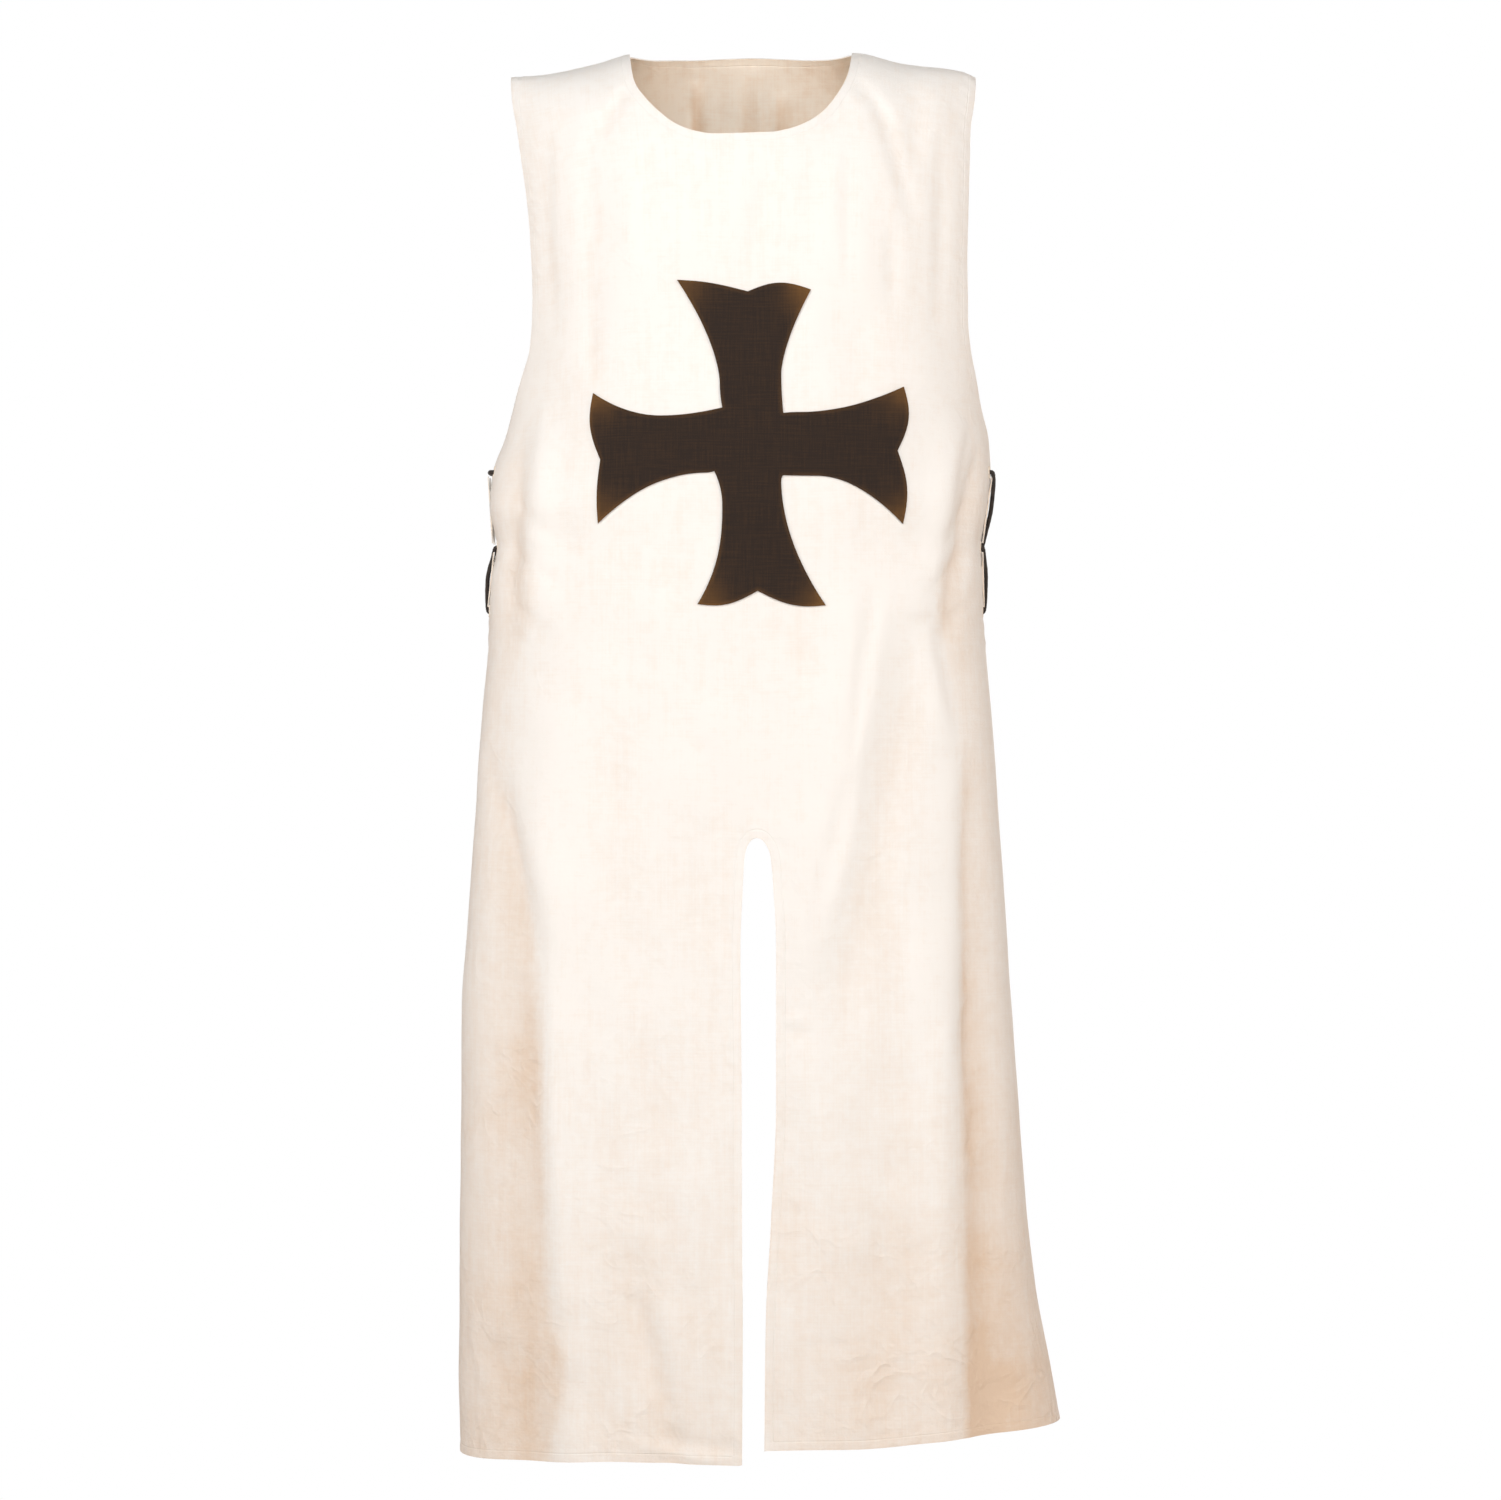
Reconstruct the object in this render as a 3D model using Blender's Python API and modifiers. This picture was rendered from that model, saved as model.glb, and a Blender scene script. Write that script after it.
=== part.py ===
"""A medieval surcoat as it is worn, hollow: a front and a back of canvas, a cloth cross, two side laces.

Metres, +Z up, +X the wearer's left, +Y behind. The origin lies midway between the shoulder seams at
the neck, where the wearer's shoulders carry the garment.
"""

import math
from collections import namedtuple

import bmesh
import bpy
import numpy as np
from mathutils import Matrix, Vector

WALL = 0.0015  # the canvas with its turned hems
SEAM = 0.00028  # half the gap at the outer face where two pieces are sewn together
SHOULDER_SEAM = 0.0005  # the same over the shoulder, where the wall bends harder
NECK_NOTCH = 0.0008  # how much wider the shoulder seam ends at the neck
COLUMNS = 13  # columns of faces from the middle of a panel to its side
ARCH_SQUARE = 2.5  # how square the cloth bends from the chest to the shoulder (2 is an ellipse)
ARC_SAMPLES = 400  # points at which the arc round a section is measured
BODY_ROW = 0.033  # height of a row of faces next to the slit's top and the lacing
SKIRT_ROWS, WAIST_ROWS, CHEST_ROWS = 11, 6, 7  # levels from hem to slit, slit to lacing, lacing to chest
SLIT_ROW_DROPS = (0.050, 0.030, 0.015, 0.004, 0.0)  # closer rows at the slit's rounded top
NECK_CORNER = {"front": 0.88, "back": 0.75}  # the neckline turns upwards this share of the way out
ARCH_ROWS = {"front": (7, 5), "back": (9, 3)}  # rows of faces above the chest line: to that corner, from it

CHEST_Z = -0.22  # below this the cloth hangs, above it the cloth arches over the shoulders
SLIT_TOP_Z = -0.724
HEM_START_Z = -1.15  # below this the rows follow the slope of the hem
HEM_BASE_Z = -1.27
LACING_Z = (-0.387, -0.457, -0.516)  # the three levels of eyelets, from the armhole down

# The level section of the garment at each height: how far it reaches to the two sides, its depth in
# front and behind, half the opening between the edges of front and back, the share of its rounding
# that the cloth still lacks at those edges, and how square the section is (2 is an ellipse).
Section = namedtuple("Section", "z left right front back opening edge square")
SECTIONS = (
    Section(-0.018, 0.2145, 0.2170, 0.112, 0.112, 0.046, 0.443, 2.3),
    Section(-0.044, 0.2130, 0.2150, 0.112, 0.112, 0.046, 0.443, 2.3),
    Section(-0.077, 0.2074, 0.2105, 0.112, 0.112, 0.046, 0.443, 2.3),
    Section(-0.133, 0.1985, 0.2083, 0.112, 0.112, 0.046, 0.443, 2.3),
    Section(-0.189, 0.1944, 0.2074, 0.112, 0.112, 0.046, 0.440, 2.3),
    Section(-0.245, 0.1925, 0.2076, 0.113, 0.112, 0.044, 0.425, 2.3),
    Section(-0.273, 0.1944, 0.2102, 0.115, 0.112, 0.041, 0.395, 2.3),
    Section(-0.301, 0.2018, 0.2158, 0.117, 0.111, 0.034, 0.340, 2.3),
    Section(-0.328, 0.2095, 0.2213, 0.119, 0.110, 0.024, 0.262, 2.3),
    Section(-0.356, 0.2190, 0.2285, 0.120, 0.108, 0.013, 0.170, 2.3),
    Section(-0.387, 0.2310, 0.2306, 0.121, 0.106, 0.006, 0.080, 2.3),
    Section(-0.420, 0.2340, 0.2280, 0.121, 0.104, 0.008, 0.022, 2.4),
    Section(-0.457, 0.2270, 0.2215, 0.120, 0.102, 0.005, 0.000, 2.4),
    Section(-0.486, 0.2330, 0.2235, 0.120, 0.101, 0.007, 0.000, 2.4),
    Section(-0.516, 0.2345, 0.2235, 0.120, 0.101, 0.004, 0.000, 2.5),
    Section(-0.545, 0.2355, 0.2260, 0.120, 0.102, SEAM, 0.000, 2.5),
    Section(-0.607, 0.2410, 0.2310, 0.121, 0.105, SEAM, 0.000, 2.6),
    Section(-0.691, 0.2460, 0.2375, 0.123, 0.111, SEAM, 0.000, 2.7),
    Section(-0.775, 0.2525, 0.2430, 0.126, 0.117, SEAM, 0.000, 2.8),
    Section(-0.914, 0.2604, 0.2520, 0.132, 0.124, SEAM, 0.000, 2.8),
    Section(-1.026, 0.2610, 0.2604, 0.137, 0.129, SEAM, 0.000, 2.8),
    Section(-1.137, 0.2620, 0.2716, 0.141, 0.133, SEAM, 0.000, 2.7),
    Section(-1.221, 0.2620, 0.2874, 0.143, 0.136, SEAM, 0.000, 2.5),
    Section(-1.300, 0.2610, 0.3000, 0.144, 0.138, SEAM, 0.000, 2.5),
)

# The shoulder seams, from the neck to the tip: height at each distance from the middle.
NECK_LEFT, NECK_RIGHT = 0.104, 0.102
CROWN_RISE = 0.030  # how much higher the rounded figure stands in the middle of the neck
Shoulder = namedtuple("Shoulder", "across left right")
SHOULDERS = (
    Shoulder(0.090, 0.0000, 0.0020),
    Shoulder(0.102, 0.0000, 0.0020),
    Shoulder(0.130, -0.0065, -0.0037),
    Shoulder(0.149, -0.0110, -0.0078),
    Shoulder(0.167, -0.0150, -0.0100),
    Shoulder(0.186, -0.0175, -0.0115),
    Shoulder(0.205, -0.0187, -0.0145),
    Shoulder(0.217, -0.0200, -0.0200),
)

# The front neckline, as the share of its full drop at each share of the way from the middle out.
NECK_DROP = 0.0855
BACK_NECK_RISE = 0.0065
Neckline = namedtuple("Neckline", "out left right")
NECKLINE = (
    Neckline(0.00, 1.000, 1.000),
    Neckline(0.25, 0.998, 0.995),
    Neckline(0.45, 0.960, 0.950),
    Neckline(0.60, 0.880, 0.875),
    Neckline(0.75, 0.725, 0.745),
    Neckline(0.88, 0.535, 0.520),
    Neckline(0.95, 0.380, 0.330),
    Neckline(1.00, 0.000, 0.000),
)

# The slit: where its two edges stand at each distance below its rounded top.
Slit = namedtuple("Slit", "drop left right")
FRONT_SLIT = (
    Slit(0.000, 0.0138, 0.0138),
    Slit(0.004, 0.0070, 0.0205),
    Slit(0.015, 0.0029, 0.0255),
    Slit(0.047, 0.0008, 0.0285),
    Slit(0.100, -0.0012, 0.0309),
    Slit(0.240, 0.0000, 0.0309),
    Slit(0.345, 0.0002, 0.0264),
    Slit(0.440, 0.0008, 0.0215),
    Slit(0.580, 0.0000, 0.0200),
)
BACK_SLIT = (
    Slit(0.000, 0.0140, 0.0140),
    Slit(0.004, 0.0040, 0.0240),
    Slit(0.015, -0.0020, 0.0300),
    Slit(0.047, -0.0055, 0.0345),
    Slit(0.100, -0.0080, 0.0375),
    Slit(0.240, -0.0075, 0.0380),
    Slit(0.345, -0.0070, 0.0350),
    Slit(0.440, -0.0060, 0.0310),
    Slit(0.580, -0.0060, 0.0290),
)
BACK_SLIT_RISE = 0.008  # the back slit starts this much higher
MIDDLE_BEND = 0.15  # height over which the middle column of faces comes in above the slit

# The hem's height at each distance from the middle.
Hem = namedtuple("Hem", "across front back")
HEMS = (
    Hem(-0.262, -1.2925, -1.2925),
    Hem(-0.200, -1.2885, -1.2890),
    Hem(-0.110, -1.2850, -1.2860),
    Hem(-0.003, -1.2875, -1.2860),
    Hem(0.023, -1.2740, -1.2830),
    Hem(0.110, -1.2735, -1.2800),
    Hem(0.155, -1.2703, -1.2780),
    Hem(0.200, -1.2667, -1.2750),
    Hem(0.250, -1.2640, -1.2705),
    Hem(0.298, -1.2625, -1.2625),
)

# The large folds: a line from its top through its middle to its foot, how wide it is to either side,
# and how far it stands out. A trough has a height below zero.
Fold = namedtuple("Fold", "top_x top_z mid_x mid_z foot_x foot_z width height")
FOLD_FADE = 0.7  # how bluntly the folds fade out: 1 is a sine wave
CALM_SIDE = 0.12  # the last share of the way out to the side over which the folds die away
CALM_SHOULDER = 0.10  # the height below the shoulders over which they do
FRONT_FOLDS = (
    Fold(0.122, -0.480, 0.084, -0.720, 0.056, -0.880, 0.028, 0.0065),
    Fold(0.156, -0.520, 0.124, -0.720, 0.098, -0.920, 0.026, -0.0050),
    Fold(0.060, -0.860, 0.072, -0.960, 0.104, -1.110, 0.026, 0.0045),
    Fold(0.180, -0.780, 0.185, -1.050, 0.188, -1.280, 0.024, 0.0070),
    Fold(0.214, -0.820, 0.222, -1.050, 0.232, -1.280, 0.022, -0.0060),
    Fold(-0.170, -0.600, -0.176, -0.950, -0.158, -1.260, 0.026, 0.0060),
    Fold(-0.210, -0.600, -0.212, -0.950, -0.200, -1.260, 0.022, -0.0050),
    Fold(-0.100, -1.080, -0.078, -1.190, -0.052, -1.280, 0.026, -0.0045),
    Fold(-0.100, -0.070, -0.096, -0.150, -0.100, -0.260, 0.024, 0.0030),
    Fold(0.095, -0.070, 0.092, -0.150, 0.100, -0.260, 0.024, 0.0030),
    Fold(-0.036, -0.600, -0.026, -0.660, -0.012, -0.720, 0.026, 0.0030),
)
BACK_FOLDS = (
    Fold(-0.060, -0.020, -0.062, -0.150, -0.070, -0.300, 0.026, 0.0040),
    Fold(0.020, -0.020, 0.024, -0.140, 0.020, -0.280, 0.026, -0.0035),
    Fold(-0.110, -0.400, -0.095, -0.640, -0.120, -0.900, 0.030, 0.0065),
    Fold(0.090, -0.360, 0.105, -0.640, 0.080, -0.900, 0.030, 0.0065),
    Fold(0.135, -0.760, 0.150, -1.000, 0.165, -1.280, 0.030, -0.0065),
    Fold(-0.145, -0.800, -0.155, -1.050, -0.172, -1.280, 0.030, -0.0065),
    Fold(0.078, -0.920, 0.080, -1.100, 0.084, -1.280, 0.030, 0.0060),
    Fold(-0.078, -0.940, -0.075, -1.100, -0.086, -1.280, 0.030, 0.0060),
)

# The cross: each side of each arm narrows from its root to its waist, and flares out to a tip.
CROSS_X, CROSS_Z = 0.008, -0.3657
CROSS_LIFT, CROSS_THICK = 0.0003, 0.0010
CROSS_CUT = (0.05, 0.20)  # the prism that trims it stands this far in front of the middle
Flank = namedtuple("Flank", "root waist flare_from tip reach power bulge")
Arm = namedtuple("Arm", "turn first second notch notch_aside")  # turn is from +X towards +Z
ARMS = (
    Arm(0, Flank(0.0305, 0.0310, 0.060, 0.0735, 0.138, 1.90, 0.006),
        Flank(0.0258, 0.0268, 0.045, 0.0515, 0.139, 1.90, 0.007), 0.1327, -0.0072),
    Arm(90, Flank(0.0295, 0.0276, 0.062, 0.0545, 0.138, 1.50, 0.007),
        Flank(0.0256, 0.0279, 0.053, 0.0665, 0.147, 1.60, 0.002), 0.1364, 0.0025),
    Arm(180, Flank(0.0307, 0.0238, 0.080, 0.0455, 0.143, 2.05, 0.006),
        Flank(0.0268, 0.0283, 0.041, 0.0735, 0.138, 2.05, 0.002), 0.1360, 0.0157),
    Arm(270, Flank(0.0328, 0.0256, 0.057, 0.0480, 0.147, 2.50, 0.006),
        Flank(0.0292, 0.0276, 0.035, 0.0680, 0.148, 1.90, 0.006), 0.1350, 0.0064),
)
FLANK_STEPS, END_STEPS = 6, 4

# The laces: a cord wound through the eyelets down each side, knotted at both ends.
LACE_RADIUS = 0.0022
EYELET_RADIUS = 0.0044
EYELET_ROD = 0.02  # length of the rods that cut them
EYELET_IN = 0.0145  # from the middle of the opening to the middle of an eyelet
LACE_STEPS = 11  # points along each half turn
KNOT_RADIUS = 0.0036
KNOT_TURN = 1.0  # how far before its first eyelet and past its last, in radians, the lace is knotted

# The passes of each lace, inside and outside by turns: the levels of eyelets it runs between, how far
# it swings from the wall, and how late it drops (1 is even, and the more the later).
Pass = namedtuple("Pass", "start end swing late")
PASSES = {
    -1: (Pass(0, 0, 0.0078, 1.0), Pass(0, 0, 0.0040, 1.0), Pass(0, 1, 0.0078, 1.0),
         Pass(1, 2, 0.0042, 0.9), Pass(2, 2, 0.0078, 1.0)),
    1: (Pass(0, 0, 0.0078, 1.0), Pass(0, 1, 0.0044, 0.9), Pass(1, 1, 0.0078, 1.0),
        Pass(1, 2, 0.0040, 1.0), Pass(2, 2, 0.0078, 1.0)),
}


def curve_through(places, values, at):
    """A smooth curve through the values that never swings past them: cubic pieces whose slopes are the
    harmonic means of the steps on either side, and level where the steps turn back."""
    places, values = np.asarray(places, float), np.asarray(values, float)
    steps = np.diff(values) / np.diff(places)
    before, after = steps[:-1], steps[1:]
    climbs = before * after > 0
    slopes = np.zeros_like(values)
    slopes[0], slopes[-1] = steps[0], steps[-1]
    slopes[1:-1][climbs] = (2 * before * after)[climbs] / (before + after)[climbs]
    at = np.clip(at, places[0], places[-1])
    piece = np.clip(np.searchsorted(places, at, side="right") - 1, 0, len(places) - 2)
    span = places[piece + 1] - places[piece]
    t = (at - places[piece]) / span
    first = (1 + 2 * t) * (1 - t) ** 2 * values[piece] + t * (1 - t) ** 2 * span * slopes[piece]
    second = t * t * (3 - 2 * t) * values[piece + 1] - t * t * (1 - t) * span * slopes[piece + 1]
    return first + second


def column(table, name, key, at):
    """One named column of a table, read smoothly at the given places of its key column."""
    rows = sorted(table, key=lambda row: getattr(row, key))
    return curve_through([getattr(row, key) for row in rows], [getattr(row, name) for row in rows], at)


def side_reach(x, z):
    """How far the garment reaches at height z, to the side that x lies on."""
    left, right = column(SECTIONS, "left", "z", z), column(SECTIONS, "right", "z", z)
    return np.where(x < 0, left, right)


def depth(share, z, face):
    """Distance in front of (or behind) the middle, at a share of the way out to the side."""
    deep = column(SECTIONS, face, "z", z)
    opening = column(SECTIONS, "opening", "z", z)
    edge, square = column(SECTIONS, "edge", "z", z), column(SECTIONS, "square", "z", z)
    turned = np.minimum(share, 1.0) ** square * (1 - edge**square)
    return opening + (deep - opening) * ((1 - turned) ** (1 / square) - edge) / (1 - edge)


def neck_bell(x):
    """1 in the middle of the neck, sinking smoothly to 0 at the neck points."""
    half = np.where(x < 0, NECK_LEFT, NECK_RIGHT)
    return np.maximum(1 - (x / half) ** 2, 0) ** 2


def seam_height(x):
    """Height of the shoulder seams, and across the neck of the straight line between them."""
    left, right = (column(SHOULDERS, side, "across", abs(x)) for side in ("left", "right"))
    over = np.clip((x + NECK_LEFT) / (NECK_LEFT + NECK_RIGHT), 0, 1)
    return left + (right - left) * over


def shoulder_height(x):
    """Height of the rounded figure over the shoulders: the seams, and a low crown across the neck."""
    return seam_height(x) + CROWN_RISE * neck_bell(x)


def neck_height(x, face):
    """Height of the neckline inside the neck, of the shoulder seam outside it."""
    half = np.where(x < 0, NECK_LEFT, NECK_RIGHT)
    out = np.minimum(abs(x) / half, 1.0)
    if face == "back":
        return seam_height(x) + BACK_NECK_RISE * neck_bell(x)
    drop = np.where(x < 0, column(NECKLINE, "left", "out", out), column(NECKLINE, "right", "out", out))
    return seam_height(x) - NECK_DROP * drop


def shoulder_tip(name):
    """How far from the middle the tip of that shoulder lies."""
    return float(column(SECTIONS, name, "z", SHOULDERS[-1].left))


def arch_lift(across, face):
    """How far round the shoulder the cloth climbs from the chest line, as an angle: a quarter turn at
    the seam, and less under the neckline."""
    full = shoulder_height(across) - CHEST_Z
    return np.arcsin(np.clip((neck_height(across, face) - CHEST_Z) / full, 0, 1) ** (ARCH_SQUARE / 2))


def arching_points(face, sign, angle, share):
    """The cloth over one shoulder, behind the middle: a rounded quarter at each share of the way out."""
    name = "left" if sign < 0 else "right"
    full = shoulder_height(sign * share * shoulder_tip(name)) - CHEST_Z
    z = CHEST_Z + full * np.sin(angle) ** (2 / ARCH_SQUARE)
    fall = np.maximum(np.cos(angle), 0) ** (2 / ARCH_SQUARE)
    y = depth(share, np.full_like(z, CHEST_Z), face) * fall + SHOULDER_SEAM
    return np.stack([sign * share * column(SECTIONS, name, "z", z), y, z], axis=-1)


def neck_side(face, sign, angle):
    """Where the neckline's side stands at each angle round the shoulder, as a share of the way out."""
    name, neck = ("left", NECK_LEFT) if sign < 0 else ("right", NECK_RIGHT)
    across = np.linspace(NECK_CORNER[face], 1, ARC_SAMPLES) * neck
    return np.interp(angle, arch_lift(sign * across, face), across) / shoulder_tip(name)


def fold_height(x, z, folds):
    """Every fold's height at (x, z): a bell across its line, fading out at its top, and at its foot
    too unless it runs out at the hem."""
    total = np.zeros_like(x)
    for fold in folds:
        line = curve_through((fold.foot_z, fold.mid_z, fold.top_z), (fold.foot_x, fold.mid_x, fold.top_x), z)
        along = np.clip((fold.top_z - z) / (fold.top_z - fold.foot_z), 0, 1)
        runs_to_hem = fold.foot_z < HEM_START_Z
        fade = np.sin(math.pi * (np.minimum(along, 0.5) if runs_to_hem else along))
        total += fold.height * fade**FOLD_FADE * np.exp(-(((x - line) / fold.width) ** 2))
    return total


def even_shares():
    """Shares of the way out to the side that stand equally far apart round the section at the waist."""
    share = np.sin(np.linspace(0, math.pi / 2, ARC_SAMPLES))
    x = share * side_reach(np.array(1.0), np.array(HEM_START_Z / 2))
    y = depth(share, np.full_like(share, HEM_START_Z / 2), "front")
    length = np.concatenate([[0], np.cumsum(np.hypot(np.diff(x), np.diff(y)))])
    return np.interp(np.linspace(0, length[-1], COLUMNS + 1), length, share)


def column_shares(corner):
    """The shares of a panel's columns, with one at the neckline's corner."""
    shares = even_shares()
    shares[np.argmin(abs(shares - corner))] = corner
    return shares


def slit_top_z(face):
    return SLIT_TOP_Z + (BACK_SLIT_RISE if face == "back" else 0)


def rows_of_body(face):
    """Heights of the rows from the hem up to the chest line, close together where the shape turns."""
    top = slit_top_z(face)
    below = np.linspace(HEM_BASE_Z, top - SLIT_ROW_DROPS[0] - BODY_ROW, SKIRT_ROWS)
    slit_end = top - np.array(SLIT_ROW_DROPS)
    waist = np.linspace(top, LACING_Z[2] - BODY_ROW, WAIST_ROWS)[1:]
    levels = np.array(LACING_Z[::-1])
    lacing = np.sort(np.concatenate([levels, (levels[1:] + levels[:-1]) / 2]))
    chest = np.linspace(LACING_Z[0], CHEST_Z, CHEST_ROWS)[1:]
    return np.concatenate([below, slit_end, waist, lacing, chest])


def hanging_points(face, sign, share):
    """The cloth below the chest line, behind the middle: each row is a level section from the slit's
    edge to the side, and the lowest rows follow the slope of the hem."""
    body, name = rows_of_body(face), "left" if sign < 0 else "right"
    slit, top = FRONT_SLIT if face == "front" else BACK_SLIT, slit_top_z(face)
    above = slit[0].left * np.clip(1 - (body - top) / MIDDLE_BEND, 0, 1)
    edge = np.where(body > top, above, column(slit, name, "drop", np.maximum(top - body, 0)))[:, None]
    x = edge + (sign * column(SECTIONS, name, "z", body)[:, None] - edge) * share
    sunk = np.clip((HEM_START_Z - body) / (HEM_START_Z - HEM_BASE_Z), 0, 1)[:, None]
    z = body[:, None] + sunk * (column(HEMS, face, "across", x) - HEM_BASE_Z)
    side = column(SECTIONS, name, "z", z)
    x = edge + (sign * side - edge) * share
    return np.stack([x, depth(abs(x) / side, z, face), z], axis=-1)


def panel_points(face, sign):
    """The smooth outer face of half a panel, points[row, column], with the row and the column of the
    neckline's corner. Above that row the columns bend to the neckline's side and spread evenly from
    there, so that only those from the corner outwards are cloth."""
    name, neck = ("left", NECK_LEFT) if sign < 0 else ("right", NECK_RIGHT)
    corner = neck * NECK_CORNER[face] / shoulder_tip(name)
    share = column_shares(corner)
    corner_col = int(np.argmin(abs(share - corner)))
    lift = arch_lift(sign * share * shoulder_tip(name), face)
    low_rows, high_rows = ARCH_ROWS[face]
    climb = np.linspace(0, 1, low_rows + 1)[1:, None]
    low = (climb + np.sin(climb * math.pi / 2)) / 2 * np.minimum(lift, lift[corner_col])
    high = np.linspace(lift[corner_col], math.pi / 2, high_rows + 1)[1:, None]
    side = neck_side(face, sign, high)
    spread = side + (1 - side) * (share - corner) / (1 - corner)
    points = np.concatenate([
        hanging_points(face, sign, share),
        arching_points(face, sign, low, np.tile(share, (low_rows, 1))),
        arching_points(face, sign, np.tile(high, (1, len(share))), spread),
    ])
    points[-1, corner_col, 1] += NECK_NOTCH
    if face == "front":
        points[..., 1] *= -1
    return points, len(points) - 1 - high_rows, corner_col


def panel_surface(face):
    """The panel's folded outer face as an open bmesh: its halves share the middle column from the
    slit's top upwards, and its folds die away towards the side seam."""
    build = bmesh.new()
    top_row = int(np.argmin(abs(rows_of_body(face) - slit_top_z(face))))
    middle = None
    for sign in (-1, 1):
        points, corner_row, corner_col = panel_points(face, sign)
        grid = np.full(points.shape[:2], None)
        for row, col in np.ndindex(grid.shape):
            if sign > 0 and col == 0 and row >= top_row:
                grid[row, col] = middle[row]
            elif row <= corner_row or col >= corner_col:
                grid[row, col] = build.verts.new(points[row, col])
        middle = grid[:, 0]
        outwards = (sign == 1) == (face == "front")
        for row, col in np.ndindex(grid.shape[0] - 1, grid.shape[1] - 1):
            if row >= corner_row and col < corner_col:
                continue
            a, b, c, d = grid[row, col], grid[row, col + 1], grid[row + 1, col + 1], grid[row + 1, col]
            for corners in ((a, b, d), (b, c, d)):
                build.faces.new(corners if outwards else corners[::-1])
    places = np.array([vert.co for vert in build.verts])
    x, z = places[:, 0], places[:, 2]
    calm = np.clip((1 - abs(x) / side_reach(x, z)) / CALM_SIDE, 0, 1) ** 2 * np.clip(-z / CALM_SHOULDER, 0, 1)
    move_out(build, fold_height(x, z, FRONT_FOLDS if face == "front" else BACK_FOLDS) * calm)
    return build


def move_out(build, heights):
    """Moves each point of a surface along its normal by its own height."""
    build.normal_update()
    for vert, normal, height in zip(build.verts, [vert.normal.copy() for vert in build.verts], heights):
        vert.co += normal * float(height)


def mesh_of(name, build):
    """A mesh with that name from a bmesh, which is then freed."""
    mesh = bpy.data.meshes.new(name)
    build.to_mesh(mesh)
    build.free()
    return mesh


def new_object(name, mesh, collection):
    made = bpy.data.objects.new(name, mesh)
    collection.objects.link(made)
    return made


def add_solidify(target, thickness, offset):
    wall = target.modifiers.new("wall", "SOLIDIFY")
    wall.thickness, wall.offset = thickness, offset
    wall.use_rim, wall.use_quality_normals = True, True


def add_boolean(target, operation, other):
    cut = target.modifiers.new(operation.lower(), "BOOLEAN")
    cut.operation, cut.solver, cut.object = operation, "EXACT", other


def as_mesh(source, collection):
    """The object as its modifiers leave it, as a plain welded mesh with the same name."""
    graph = bpy.context.evaluated_depsgraph_get()
    mesh = bpy.data.meshes.new_from_object(source.evaluated_get(graph))
    build = bmesh.new()
    build.from_mesh(mesh)
    bmesh.ops.remove_doubles(build, verts=build.verts, dist=0.00001)
    build.to_mesh(mesh)
    build.free()
    name, place = source.name, source.matrix_world.copy()
    bpy.data.objects.remove(source)
    made = new_object(name, mesh, collection)
    made.matrix_world = place
    return made


def as_cutter(cutter, cutters):
    cutter.hide_render, cutter.display_type = True, "WIRE"
    if cutter.name not in cutters.objects:
        cutters.objects.link(cutter)
    return cutter


def finish(target, colour, roughness):
    """Gives the piece its own material and smooth shading up to its edges."""
    material = bpy.data.materials.new(target.name)
    material.use_nodes = True
    shader = material.node_tree.nodes["Principled BSDF"]
    shader.inputs["Base Color"].default_value = (*colour, 1)
    shader.inputs["Roughness"].default_value = roughness
    shader.inputs["Metallic"].default_value = 0.0
    target.data.materials.clear()
    target.data.materials.append(material)
    target.data.shade_smooth()
    target.data.set_sharp_from_angle(angle=math.radians(40))


def eyelet_place(side, face, z):
    """Where an eyelet goes through the wall, beside the opening at one side."""
    y = -EYELET_IN if face == "front" else EYELET_IN
    return Vector((side * float(side_reach(np.array(side), z)), y, z))


def eyelet_cutter(face, cutters):
    """Six short rods through a panel's side edges, three to a side, in one mesh."""
    build = bmesh.new()
    for side in (-1, 1):
        for z in LACING_Z:
            place = Matrix.Translation(eyelet_place(side, face, z)) @ Matrix.Rotation(math.pi / 2, 4, "Y")
            bmesh.ops.create_cone(
                build, cap_ends=True, segments=12, radius1=EYELET_RADIUS, radius2=EYELET_RADIUS,
                depth=EYELET_ROD, matrix=place,
            )
    mesh = mesh_of(f"eyelets_{face}", build)
    return as_cutter(new_object(mesh.name, mesh, cutters), cutters)


def make_panel(face, parts, cutters):
    """A length of canvas in the form in which it hangs, slit from the hem, with its eyelets cut."""
    panel = new_object(f"{face}_panel", mesh_of(f"{face}_panel", panel_surface(face)), parts)
    add_solidify(panel, WALL, -1.0)
    add_boolean(panel, "DIFFERENCE", eyelet_cutter(face, cutters))
    finish(panel, (0.92, 0.86, 0.78), 0.9)


def flank_points(flank, lateral, corner):
    """One side of an arm, as (reach, across), from its corner with the next arm to its tip. The corner
    is as far out as that arm is wide at its root. The side narrows to the waist as a square curve, and
    flares as a power curve."""
    reach = np.linspace(corner, flank.reach, FLANK_STEPS + 1)
    flare = np.clip((reach - flank.flare_from) / (flank.reach - flank.flare_from), 0, 1) ** flank.power
    narrow = np.clip((flank.flare_from - reach) / (flank.flare_from - corner), 0, 1) ** 2
    across = flank.waist + (flank.tip - flank.waist) * flare + (flank.root - flank.waist) * narrow
    return list(zip(reach, lateral * across))


def end_points(flank, lateral, arm):
    """Half the end of an arm, from the tip to the notch, bulging as half a sine wave."""
    steps = np.linspace(0, 1, END_STEPS + 1)[1:-1]
    reach = flank.reach + (arm.notch - flank.reach) * steps + flank.bulge * np.sin(math.pi * steps)
    across = lateral * flank.tip + (arm.notch_aside - lateral * flank.tip) * steps
    return list(zip(reach, across))


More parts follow.
